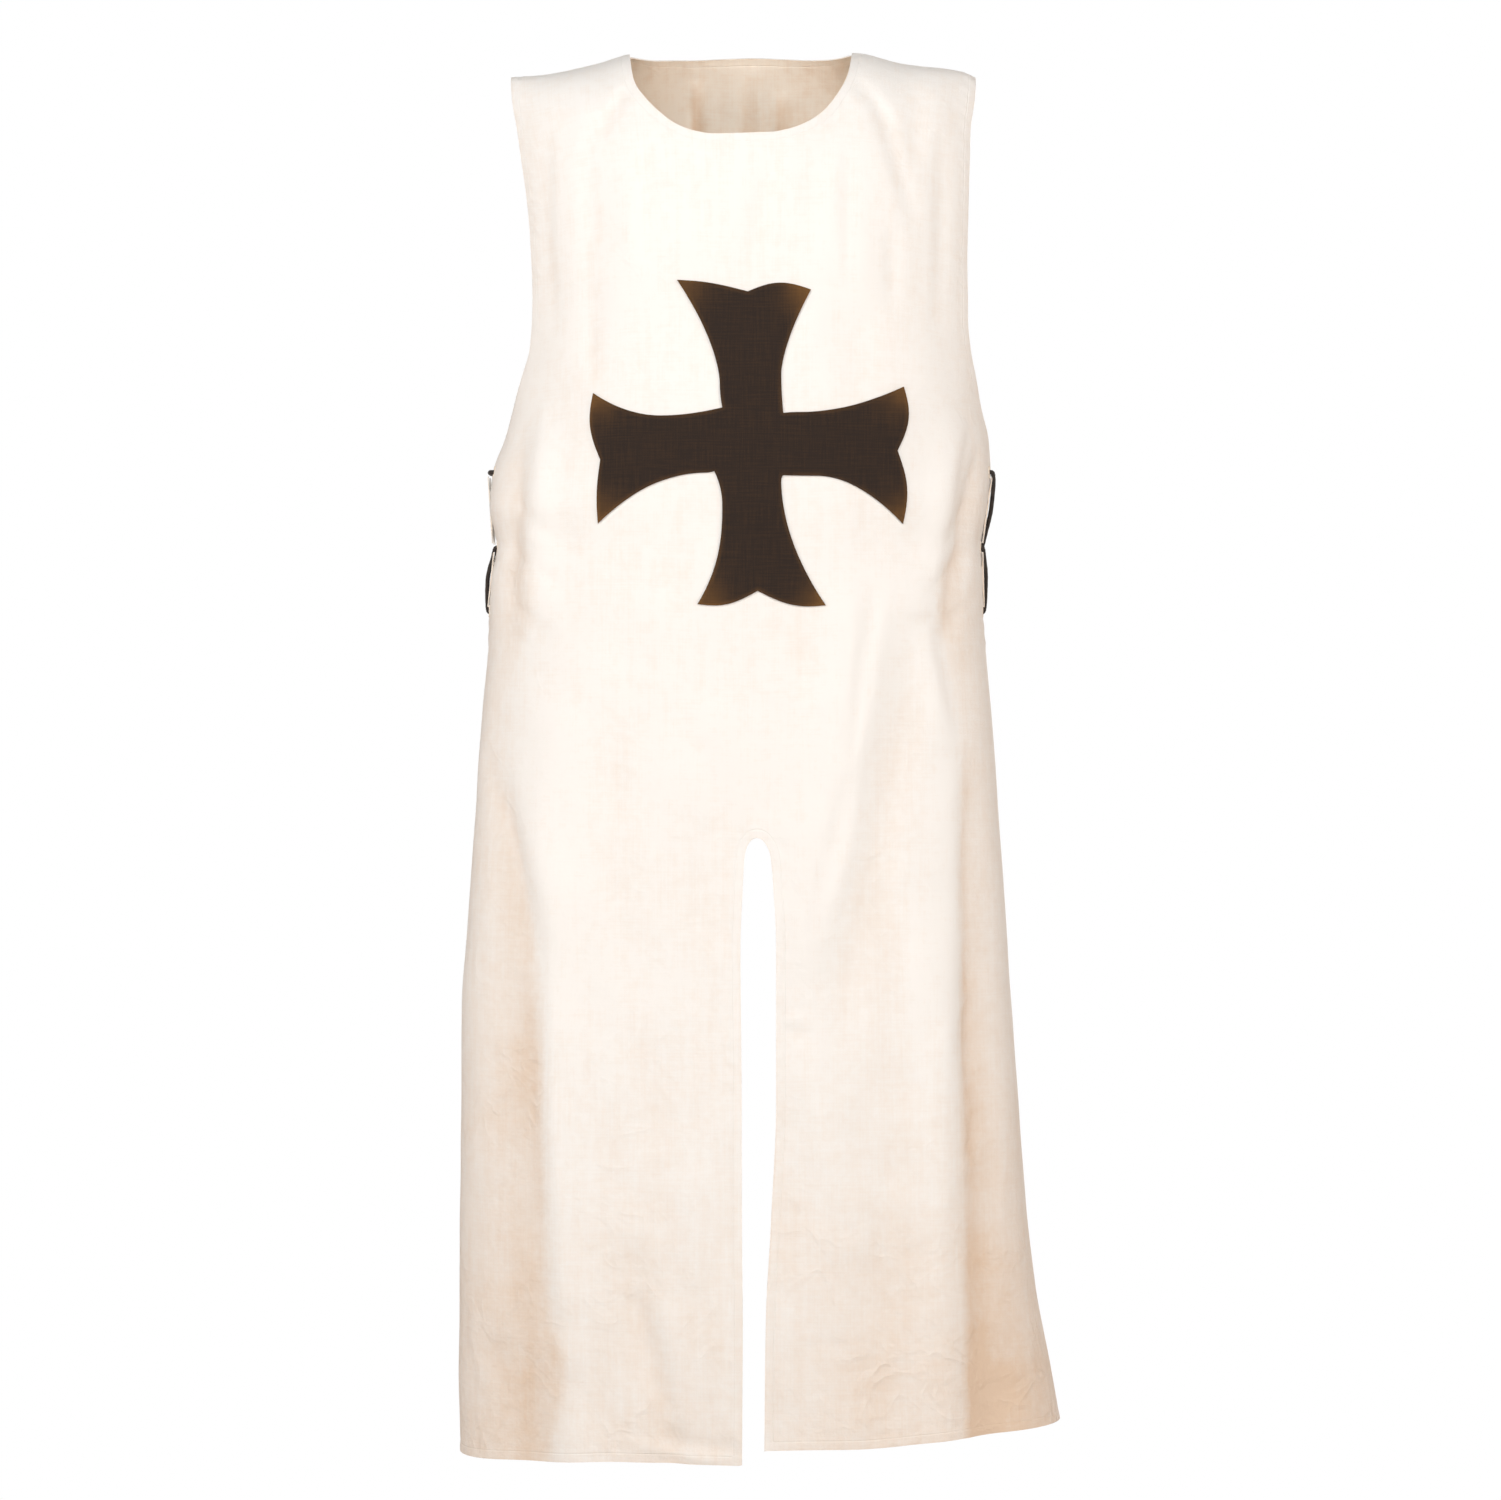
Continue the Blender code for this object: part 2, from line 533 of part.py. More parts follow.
def cross_outline():
    """The whole outline, arm by arm, turned about the middle of the cross."""
    outline = []
    for before, arm, after in zip(ARMS[-1:] + ARMS[:-1], ARMS, ARMS[1:] + ARMS[:1]):
        turn = math.radians(arm.turn)
        first = flank_points(arm.first, -1, before.second.root)
        second = flank_points(arm.second, 1, after.first.root)[1:]
        ends = end_points(arm.first, -1, arm) + [(arm.notch, arm.notch_aside)]
        ends += end_points(arm.second, 1, arm)[::-1]
        for reach, across in first + ends + second[::-1]:
            x = reach * math.cos(turn) - across * math.sin(turn)
            z = reach * math.sin(turn) + across * math.cos(turn)
            outline.append((CROSS_X + x, CROSS_Z + z))
    return outline


def cross_cutter(cutters):
    """A deep prism of the cross's outline, standing through the front of the chest."""
    build = bmesh.new()
    corners = [build.verts.new((x, -CROSS_CUT[1], z)) for x, z in cross_outline()]
    base = build.faces.new(corners)
    raised = bmesh.ops.extrude_face_region(build, geom=[base])
    moved = [item for item in raised["geom"] if isinstance(item, bmesh.types.BMVert)]
    bmesh.ops.translate(build, verts=moved, vec=(0, CROSS_CUT[1] - CROSS_CUT[0], 0))
    bmesh.ops.recalc_face_normals(build, faces=build.faces)
    return as_cutter(new_object("cross_outline", mesh_of("cross_outline", build), cutters), cutters)


def make_cross(parts, cutters):
    """The cloth cross: the front's own faces moved out, thickened, and kept inside the outline."""
    build = panel_surface("front")
    move_out(build, [CROSS_LIFT] * len(build.verts))
    x, z = zip(*cross_outline())
    clear = [
        face for face in build.faces
        if max(v.co.x for v in face.verts) < min(x) or min(v.co.x for v in face.verts) > max(x)
        or max(v.co.z for v in face.verts) < min(z) or min(v.co.z for v in face.verts) > max(z)
    ]
    bmesh.ops.delete(build, geom=clear, context="FACES")
    cross = new_object("cross", mesh_of("cross", build), parts)
    add_solidify(cross, CROSS_THICK, 1.0)
    add_boolean(cross, "INTERSECT", cross_cutter(cutters))
    finish(cross, (0.035, 0.025, 0.020), 0.85)


def lace_path(side):
    """The lace's route: from its first knot inside to a front eyelet, across outside to a back eyelet,
    in, and across inside to the front again. Half a turn of angle is one pass, and outside the bow is
    the root of a sine, so that it stays close."""
    last = math.pi * (len(PASSES[side]) - 2) + KNOT_TURN
    angle = np.linspace(-KNOT_TURN, last, round((last + KNOT_TURN) / math.pi * LACE_STEPS) + 1)
    half_turns = np.floor(angle / math.pi).astype(int)
    start, end, swing, late = np.array(PASSES[side])[half_turns + 1].T
    part = angle - half_turns * math.pi
    drop = ((part - np.sin(part) * np.cos(part)) / math.pi) ** late
    first, second = (np.array(LACING_Z)[level.astype(int)] for level in (start, end))
    bow = np.sin(angle)
    out = swing * np.where(bow > 0, np.sqrt(np.maximum(bow, 0)), bow)
    z = first + (second - first) * drop
    x = side * (side_reach(np.full_like(z, side), z) - WALL / 2 + out)
    return np.stack([x, -EYELET_IN * np.cos(angle), z], axis=-1)


def make_lace(name, side, parts, cutters):
    """A cord as a tube along its route, with a round knot at each end."""
    path = lace_path(side)
    data = bpy.data.curves.new(name, "CURVE")
    data.dimensions, data.bevel_depth, data.bevel_resolution = "3D", LACE_RADIUS, 2
    data.use_fill_caps = True
    spline = data.splines.new("POLY")
    spline.points.add(len(path) - 1)
    for point, place in zip(spline.points, path):
        point.co = (*place, 1)
    lace = as_mesh(new_object(name, data, parts), parts)
    for number, end in enumerate((path[0], path[-1])):
        build = bmesh.new()
        bmesh.ops.create_uvsphere(
            build, u_segments=10, v_segments=7, radius=KNOT_RADIUS, matrix=Matrix.Translation(Vector(end))
        )
        mesh = mesh_of(f"{name}_knot_{number}", build)
        add_boolean(lace, "UNION", as_cutter(new_object(mesh.name, mesh, cutters), cutters))
    finish(lace, (0.02, 0.016, 0.014), 0.6)


def build_surcoat():
    for old in list(bpy.data.objects):
        bpy.data.objects.remove(old)
    parts, cutters = bpy.data.collections.new("surcoat"), bpy.data.collections.new("surcoat_cutters")
    for collection in (parts, cutters):
        bpy.context.scene.collection.children.link(collection)
    make_panel("front", parts, cutters)
    make_panel("back", parts, cutters)
    make_cross(parts, cutters)
    make_lace("lace_left", -1, parts, cutters)
    make_lace("lace_right", 1, parts, cutters)


build_surcoat()
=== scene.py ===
import math
from collections import namedtuple
from functools import partialmethod

import bpy
import numpy as np
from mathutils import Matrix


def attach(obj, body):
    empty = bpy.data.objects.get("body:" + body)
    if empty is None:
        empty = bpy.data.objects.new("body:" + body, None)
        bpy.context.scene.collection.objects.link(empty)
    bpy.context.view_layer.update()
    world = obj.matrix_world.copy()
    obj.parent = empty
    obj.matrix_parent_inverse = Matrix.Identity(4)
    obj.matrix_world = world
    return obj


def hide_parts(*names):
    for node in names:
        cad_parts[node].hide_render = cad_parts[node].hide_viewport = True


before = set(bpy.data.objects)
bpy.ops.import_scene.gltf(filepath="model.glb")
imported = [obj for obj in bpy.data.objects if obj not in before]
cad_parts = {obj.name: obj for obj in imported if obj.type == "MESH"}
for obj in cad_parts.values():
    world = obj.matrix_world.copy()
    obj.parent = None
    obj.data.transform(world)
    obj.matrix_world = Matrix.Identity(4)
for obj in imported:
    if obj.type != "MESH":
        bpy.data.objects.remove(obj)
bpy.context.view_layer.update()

# ---- The view ----
# Square to the front, level with the middle of the garment and far enough off that it hardly tapers.
VIEW_PLACE = (0.0079, -4.2, -0.6445)
VIEW_WIDTH = 1.396  # what the view spans at the garment's middle
SENSOR = 36.0


def placed(name, data):
    """An object that shows the data, put in the scene at the origin."""
    made = bpy.data.objects.new(name, data)
    bpy.context.scene.collection.objects.link(made)
    return made


view = bpy.data.cameras.new("view")
view.sensor_width = SENSOR
view.lens = SENSOR * -VIEW_PLACE[1] / VIEW_WIDTH
camera = placed("view", view)
camera.location, camera.rotation_euler = VIEW_PLACE, (math.pi / 2, 0, 0)
bpy.context.scene.camera = camera
bpy.context.scene.view_settings.view_transform = "Standard"

# ---- The front ----
# One length of bleached linen canvas from the shoulder seams to the shins, slit up the middle from
# the hem and worn over a padded coat. Every free edge is turned in twice and sewn down.
CHEST_Z = -0.22  # below this the cloth hangs, above it the cloth arches over the shoulders
ARCH_SQUARE = 2.5  # how square the cloth bends from the chest to the shoulder (2 is an ellipse)
HEM_START_Z = -1.15  # below this the rows follow the slope of the hem
HEM_BASE_Z = -1.27
LACING_Z = (-0.387, -0.457, -0.516)  # the three levels of eyelets, from the armhole down
SEAM_Z = -0.545  # the side seam runs from here to the hem
SHOULDER_SEAM = 0.0002  # half the gap where front and back are sewn together over the shoulder
SIDES = {-1: "left", 1: "right"}


def table(columns, *rows):
    """A table with named columns. Its rows are in thousandths: millimetres, and shares and powers too."""
    Row = namedtuple("Row", columns)
    return [Row(*(number / 1000 for number in row)) for row in rows]


def curve_through(places, values, at):
    """A smooth curve through the values that never swings past them: cubic pieces whose slopes are the
    harmonic means of the steps on either side, and level where the steps turn back."""
    places, values = np.asarray(places, float), np.asarray(values, float)
    steps = np.diff(values) / np.diff(places)
    before, after = steps[:-1], steps[1:]
    climbs = before * after > 0
    slopes = np.zeros_like(values)
    slopes[0], slopes[-1] = steps[0], steps[-1]
    slopes[1:-1][climbs] = (2 * before * after)[climbs] / (before + after)[climbs]
    at = np.clip(at, places[0], places[-1])
    piece = np.clip(np.searchsorted(places, at, side="right") - 1, 0, len(places) - 2)
    span = places[piece + 1] - places[piece]
    t = (at - places[piece]) / span
    first = (1 + 2 * t) * (1 - t) ** 2 * values[piece] + t * (1 - t) ** 2 * span * slopes[piece]
    second = t * t * (3 - 2 * t) * values[piece + 1] - t * t * (1 - t) * span * slopes[piece + 1]
    return first + second


def column(rows, name, at):
    """One named column of a table, read smoothly at the given places of its first column."""
    rows = sorted(rows)
    return curve_through([row[0] for row in rows], [getattr(row, name) for row in rows], at)


def by_side(rows, x, at):
    """A table's left or right column, by the side that x lies on."""
    return np.where(x < 0, column(rows, "left", at), column(rows, "right", at))


# The level section at each height: how far it reaches to the sides, its depth in front and behind, half
# the opening between the edges of front and back, the share of its rounding that the cloth still lacks
# at those edges, and how square it is (2 is an ellipse).
SECTIONS = table(
    "z left right front back opening edge square",
    (-18, 214.5, 217, 112, 112, 46, 443, 2300),
    (-44, 213, 215, 112, 112, 46, 443, 2300),
    (-77, 207.4, 210.5, 112, 112, 46, 443, 2300),
    (-133, 198.5, 208.3, 112, 112, 46, 443, 2300),
    (-189, 194.4, 207.4, 112, 112, 46, 440, 2300),
    (-245, 192.5, 207.6, 113, 112, 44, 425, 2300),
    (-273, 194.4, 210.2, 115, 112, 41, 395, 2300),
    (-301, 201.8, 215.8, 117, 111, 34, 340, 2300),
    (-328, 209.5, 221.3, 119, 110, 24, 262, 2300),
    (-356, 219, 228.5, 120, 108, 13, 170, 2300),
    (-387, 231, 230.6, 121, 106, 6, 80, 2300),
    (-420, 234, 228, 121, 104, 8, 22, 2400),
    (-457, 227, 221.5, 120, 102, 5, 0, 2400),
    (-486, 233, 223.5, 120, 101, 7, 0, 2400),
    (-516, 234.5, 223.5, 120, 101, 4, 0, 2500),
    (-545, 235.5, 226, 120, 102, 0.1, 0, 2500),
    (-607, 241, 231, 121, 105, 0.1, 0, 2600),
    (-691, 246, 237.5, 123, 111, 0.1, 0, 2700),
    (-775, 252.5, 243, 126, 117, 0.1, 0, 2800),
    (-914, 260.4, 252, 132, 124, 0.1, 0, 2800),
    (-1026, 261, 260.4, 137, 129, 0.1, 0, 2800),
    (-1137, 262, 271.6, 141, 133, 0.1, 0, 2700),
    (-1221, 262, 287.4, 143, 136, 0.1, 0, 2500),
    (-1300, 261, 300, 144, 138, 0.1, 0, 2500),
)


def section_at(z, face):
    """Depth, opening, edge and squareness of the level section at a height."""
    return (column(SECTIONS, name, z) for name in (face, "opening", "edge", "square"))


def depth(share, z, face):
    """Distance in front of (or behind) the middle, at a share of the way out to the side."""
    deep, opening, edge, square = section_at(z, face)
    turned = np.minimum(share, 1.0) ** square * (1 - edge**square)
    return opening + (deep - opening) * ((1 - turned) ** (1 / square) - edge) / (1 - edge)


# The shoulder seams, from the neck to the tip: height at each distance from the middle.
SHOULDERS = table(
    "across left right",
    (90, 0, 2), (102, 0, 2), (130, -6.5, -3.7), (149, -11, -7.8),
    (167, -15, -10), (186, -17.5, -11.5), (205, -18.7, -14.5), (217, -20, -20),
)
TIPS = {sign: column(SECTIONS, name, SHOULDERS[-1].left) for sign, name in SIDES.items()}

# The neck: how far its two points lie from the middle, the share of the way out at which each neckline
# turns upwards, and the front one as the share of its full drop at each share of the way out.
NECK = {-1: 0.104, 1: 0.102}
NECK_CORNER = {"front": 0.88}
NECK_DROP = 0.0855
NECKLINE = table(
    "out left right",
    (0, 1000, 1000), (250, 998, 995), (450, 960, 950), (600, 880, 875),
    (750, 725, 745), (880, 535, 520), (950, 380, 330), (1000, 0, 0),
)
CROWN_RISE = 0.030  # how much higher the rounded figure stands in the middle of the neck


def neck_share(x):
    """How far out x lies, as a share of the way to the neck point on its side."""
    return np.minimum(abs(x) / np.where(x < 0, NECK[-1], NECK[1]), 1.0)


def shoulder_height(x, rise=CROWN_RISE):
    """Height of the shoulder seams, and across the neck of a low crown on the line between them."""
    left, right = (column(SHOULDERS, name, abs(x)) for name in SIDES.values())
    over = np.clip((x + NECK[-1]) / (NECK[-1] + NECK[1]), 0, 1)
    return left + (right - left) * over + rise * (1 - neck_share(x) ** 2) ** 2


def neck_height(x, face):
    """Height of the neckline inside the neck, of the shoulder seam outside it."""
    if face == "back":
        return shoulder_height(x, BACK_NECK_RISE)
    return shoulder_height(x, 0) - NECK_DROP * by_side(NECKLINE, x, neck_share(x))


def arch_lift(across, face):
    """How far round the shoulder the cloth climbs from the chest line: a quarter turn at the seam, and
    less under the neckline."""
    full = shoulder_height(across) - CHEST_Z
    return np.arcsin(np.clip((neck_height(across, face) - CHEST_Z) / full, 0, 1) ** (ARCH_SQUARE / 2))


def arching_points(face, sign, angle, share):
    """The cloth over one shoulder, behind the middle: a rounded quarter at each share of the way out."""
    full = shoulder_height(sign * share * TIPS[sign]) - CHEST_Z
    z = CHEST_Z + full * np.sin(angle) ** (2 / ARCH_SQUARE)
    fall = np.maximum(np.cos(angle), 0) ** (2 / ARCH_SQUARE)
    y = depth(share, CHEST_Z, face) * fall + SHOULDER_SEAM
    return np.stack([sign * share * column(SECTIONS, SIDES[sign], z), y, z], axis=-1)


def neck_side(face, sign, angle):
    """Where the neckline's side stands at each angle round the shoulder, as a share of the way out."""
    across = np.linspace(NECK_CORNER[face], 1, ARC_SAMPLES) * NECK[sign]
    return np.interp(angle, arch_lift(sign * across, face), across) / TIPS[sign]


# The slit: where its two edges stand at each distance below its rounded top.
SLIT_TOP_Z = {"front": -0.724}
MIDDLE_BEND = 0.15  # height over which the middle column of faces comes in above the slit
SLITS = {"front": table(
    "drop left right",
    (0, 13.8, 13.8), (4, 7, 20.5), (15, 2.9, 25.5), (47, 0.8, 28.5),
    (100, -1.2, 30.9), (240, 0, 30.9), (345, 0.2, 26.4), (440, 0.8, 21.5),
    (580, 0, 20),
)}

# The hem's height at each distance from the middle.
HEMS = table(
    "across front back",
    (-262, -1292.5, -1292.5), (-200, -1288.5, -1289), (-110, -1285, -1286), (-3, -1287.5, -1286),
    (23, -1274, -1283), (110, -1273.5, -1280), (155, -1270.3, -1278), (200, -1266.7, -1275),
    (250, -1264, -1270.5), (298, -1262.5, -1262.5),
)

# The rows and columns of the canvas, in metres of cloth: closer together along every edge and beside
# the eyelets, with even steps between.
HEM_STEPS = np.array([0, 1.5, 4.0, 7.8, 9.2, 12.5]) / 1000
SIDE_STEPS = np.array([0, 1.5, 3.2, 4.9, 6.6, 8.3, 10.0, 11.7, 13.4, 15.1, 18.5]) / 1000
SLIT_DROPS = np.array([-6.0, -3.5, -1.5, 0, 0.6, 1.8, 3.5, 6.0, 9.5, 14.0, 20.0]) / 1000
EYELET_ROWS = np.linspace(-7, 7, 11) / 1000
ROW, INNER_COLUMNS, OUTER_COLUMNS = 0.0044, 15, 27
ARCH_ROWS = {"front": (46, 18)}  # up to the neckline's corner, and from it to the seam
ARC_SAMPLES = 241  # points at which the cloth is measured to spread its rows and columns


def hanging_heights(face):
    """Heights of the rows from the hem up to the chest line, with even steps filled in between."""
    places = [HEM_BASE_Z + HEM_STEPS, SLIT_TOP_Z[face] - SLIT_DROPS, [CHEST_Z]]
    places = np.unique(np.round(np.concatenate(places + [level + EYELET_ROWS for level in LACING_Z]), 6))
    runs = [np.linspace(a, b, math.ceil((b - a) / ROW) + 1)[:-1] for a, b in zip(places, places[1:])]
    return np.append(np.concatenate(runs), places[-1])


def row_at(face, z):
    """The hanging row nearest to a height."""
    return int(np.argmin(abs(hanging_heights(face) - z)))


def slit_edge(face, name, height):
    """Where the slit's edge stands: read along the square root of the way down, so that its top is
    round. Above the slit it leads the middle of the cloth back to the middle of the garment."""
    rows, top = SLITS[face], SLIT_TOP_Z[face]
    drops = [math.sqrt(row.drop) for row in rows]
    below = curve_through(drops, [getattr(row, name) for row in rows], np.sqrt(np.maximum(top - height, 0)))
    above = rows[0].left * np.clip(1 - (height - top) / MIDDLE_BEND, 0, 1)
    return np.where(height > top, above, below)


def hanging_points(face, sign, heights, share):
    """The cloth below the chest: a level section at each height, from the slit's edge (share 0) to the
    side (share 1), with the lowest rows let down to the slope of the hem."""
    name = SIDES[sign]
    edge, heights = slit_edge(face, name, heights)[:, None], heights[:, None]
    x = edge + (sign * column(SECTIONS, name, heights) - edge) * share
    sunk = np.clip((HEM_START_Z - heights) / (HEM_START_Z - HEM_BASE_Z), 0, 1)
    z = heights + sunk * (column(HEMS, face, x) - HEM_BASE_Z)
    side = column(SECTIONS, name, z)
    x = edge + (sign * side - edge) * share
    return np.stack([x, depth(abs(x) / side, z, face), z], axis=-1)


def lengths_along(points, axis):
    """Length of cloth from the first point of each row or column to every other."""
    steps = np.linalg.norm(np.diff(points, axis=axis), axis=-1)
    return np.insert(np.cumsum(steps, axis=axis), 0, 0, axis=axis)


def up_to_edge(whole, rows):
    """Lengths that divide a whole into even rows, closer together along a hem at its end."""
    return np.append(np.linspace(0, whole - HEM_STEPS[-1], rows + 1)[1:], whole - HEM_STEPS[-2::-1])


def half_grid(face, sign):
    """Points of half a panel, [row, column], rows from the hem up and columns from the slit out, their
    shares of the way out, and the row and column of the neckline's corner. Above that row the columns
    bend to the neckline's side, and only those from the corner outwards are cloth."""
    heights, even = hanging_heights(face), np.linspace(0, 1, ARC_SAMPLES)
    corner = NECK[sign] * NECK_CORNER[face] / TIPS[sign]
    share = []
    for length in lengths_along(hanging_points(face, sign, heights, even[None, :]), 1):
        to_corner, whole = np.interp(corner, even, length), length[-1]
        inner = np.linspace(HEM_STEPS[-1], to_corner, INNER_COLUMNS)
        outer = np.linspace(to_corner + HEM_STEPS[-1], whole - SIDE_STEPS[-1], OUTER_COLUMNS)
        places = [HEM_STEPS[:-1], inner, to_corner + HEM_STEPS[1:-1], outer, whole - SIDE_STEPS[-2::-1]]
        share.append(np.interp(np.concatenate(places), length, even))
    share = np.array(share)
    chest, corner_col = share[-1], len(HEM_STEPS) + INNER_COLUMNS - 2
    lift = arch_lift(sign * chest * TIPS[sign], face)
    low_rows, high_rows = ARCH_ROWS[face]
    low = even[:, None] * np.minimum(lift, lift[corner_col])
    lengths = lengths_along(arching_points(face, sign, low, chest), 0)
    low = np.stack([np.interp(up_to_edge(length[-1], low_rows), length, angle)
                    for length, angle in zip(lengths.T, low.T)], axis=-1)
    high = np.linspace(lift[corner_col], math.pi / 2, ARC_SAMPLES)
    length = lengths_along(arching_points(face, sign, high, neck_side(face, sign, high)), 0)
    high = np.interp(up_to_edge(length[-1], high_rows), length, high)[:, None]
    side = neck_side(face, sign, high)
    bent = side + (1 - side) * (chest - corner) / (1 - corner)
    arch_share = np.concatenate([np.tile(chest, (len(low), 1)), bent])
    arch = arching_points(face, sign, np.concatenate([low, np.tile(high, (1, len(chest)))]), arch_share)
    grid = np.concatenate([hanging_points(face, sign, heights, share), arch])
    if face == "front":
        grid[..., 1] *= -1
    return grid, np.concatenate([share, arch_share]), len(heights) + len(low) - 1, corner_col


# The large folds: a line from its top through its middle to its foot, how wide it is to either side,
# and how far it stands out. A trough has a height below zero.
FOLD_FADE = 0.7  # how bluntly folds and creases fade out: 1 is a sine wave
FOLDS = {"front": table(
    "top_x top_z mid_x mid_z foot_x foot_z width height",
    (122, -480, 84, -720, 56, -880, 28, 6.5),
    (156, -520, 124, -720, 98, -920, 26, -5),
    (60, -860, 72, -960, 104, -1110, 26, 4.5),
    (180, -780, 185, -1050, 188, -1280, 24, 7),
    (214, -820, 222, -1050, 232, -1280, 22, -6),
    (-170, -600, -176, -950, -158, -1260, 26, 6),
    (-210, -600, -212, -950, -200, -1260, 22, -5),
    (-100, -1080, -78, -1190, -52, -1280, 26, -4.5),
    (-100, -70, -96, -150, -100, -260, 24, 3),
    (95, -70, 92, -150, 100, -260, 24, 3),
    (-36, -600, -26, -660, -12, -720, 26, 3),
)}


def bell(distance, width):
    """1 at no distance, falling off to both sides as a bell of that width."""
    return np.exp(-((distance / width) ** 2))


def fold_relief(x, z, face):
    """Every fold's height at (x, z): a bell across its line, fading out at its top, and at its foot
    too unless it runs out at the hem."""
    total = np.zeros_like(x)
    for fold in FOLDS[face]:
        line = curve_through((fold.foot_z, fold.mid_z, fold.top_z), (fold.foot_x, fold.mid_x, fold.top_x), z)
        along = np.clip((fold.top_z - z) / (fold.top_z - fold.foot_z), 0, 1)
        fade = np.sin(math.pi * (np.minimum(along, 0.5) if fold.foot_z < HEM_START_Z else along))
        total += fold.height * fade**FOLD_FADE * bell(x - line, fold.width)
    return total


def cloth_place(x, z, face):
    """The point of the smooth cloth at x and z, in closed form: the level section's depth, which above
    the chest line shrinks as a rounded quarter."""
    share = np.clip(abs(x) / by_side(SECTIONS, x, z), 0, 1)
    full = shoulder_height(share * np.where(x < 0, -TIPS[-1], TIPS[1])) - CHEST_Z
    arch = (1 - np.clip((z - CHEST_Z) / full, 0, 1) ** ARCH_SQUARE) ** (1 / ARCH_SQUARE)
    y = np.where(z > CHEST_Z, depth(share, CHEST_Z, face) * arch, depth(share, z, face))
    return np.stack([x, -y if face == "front" else y, z], axis=-1)


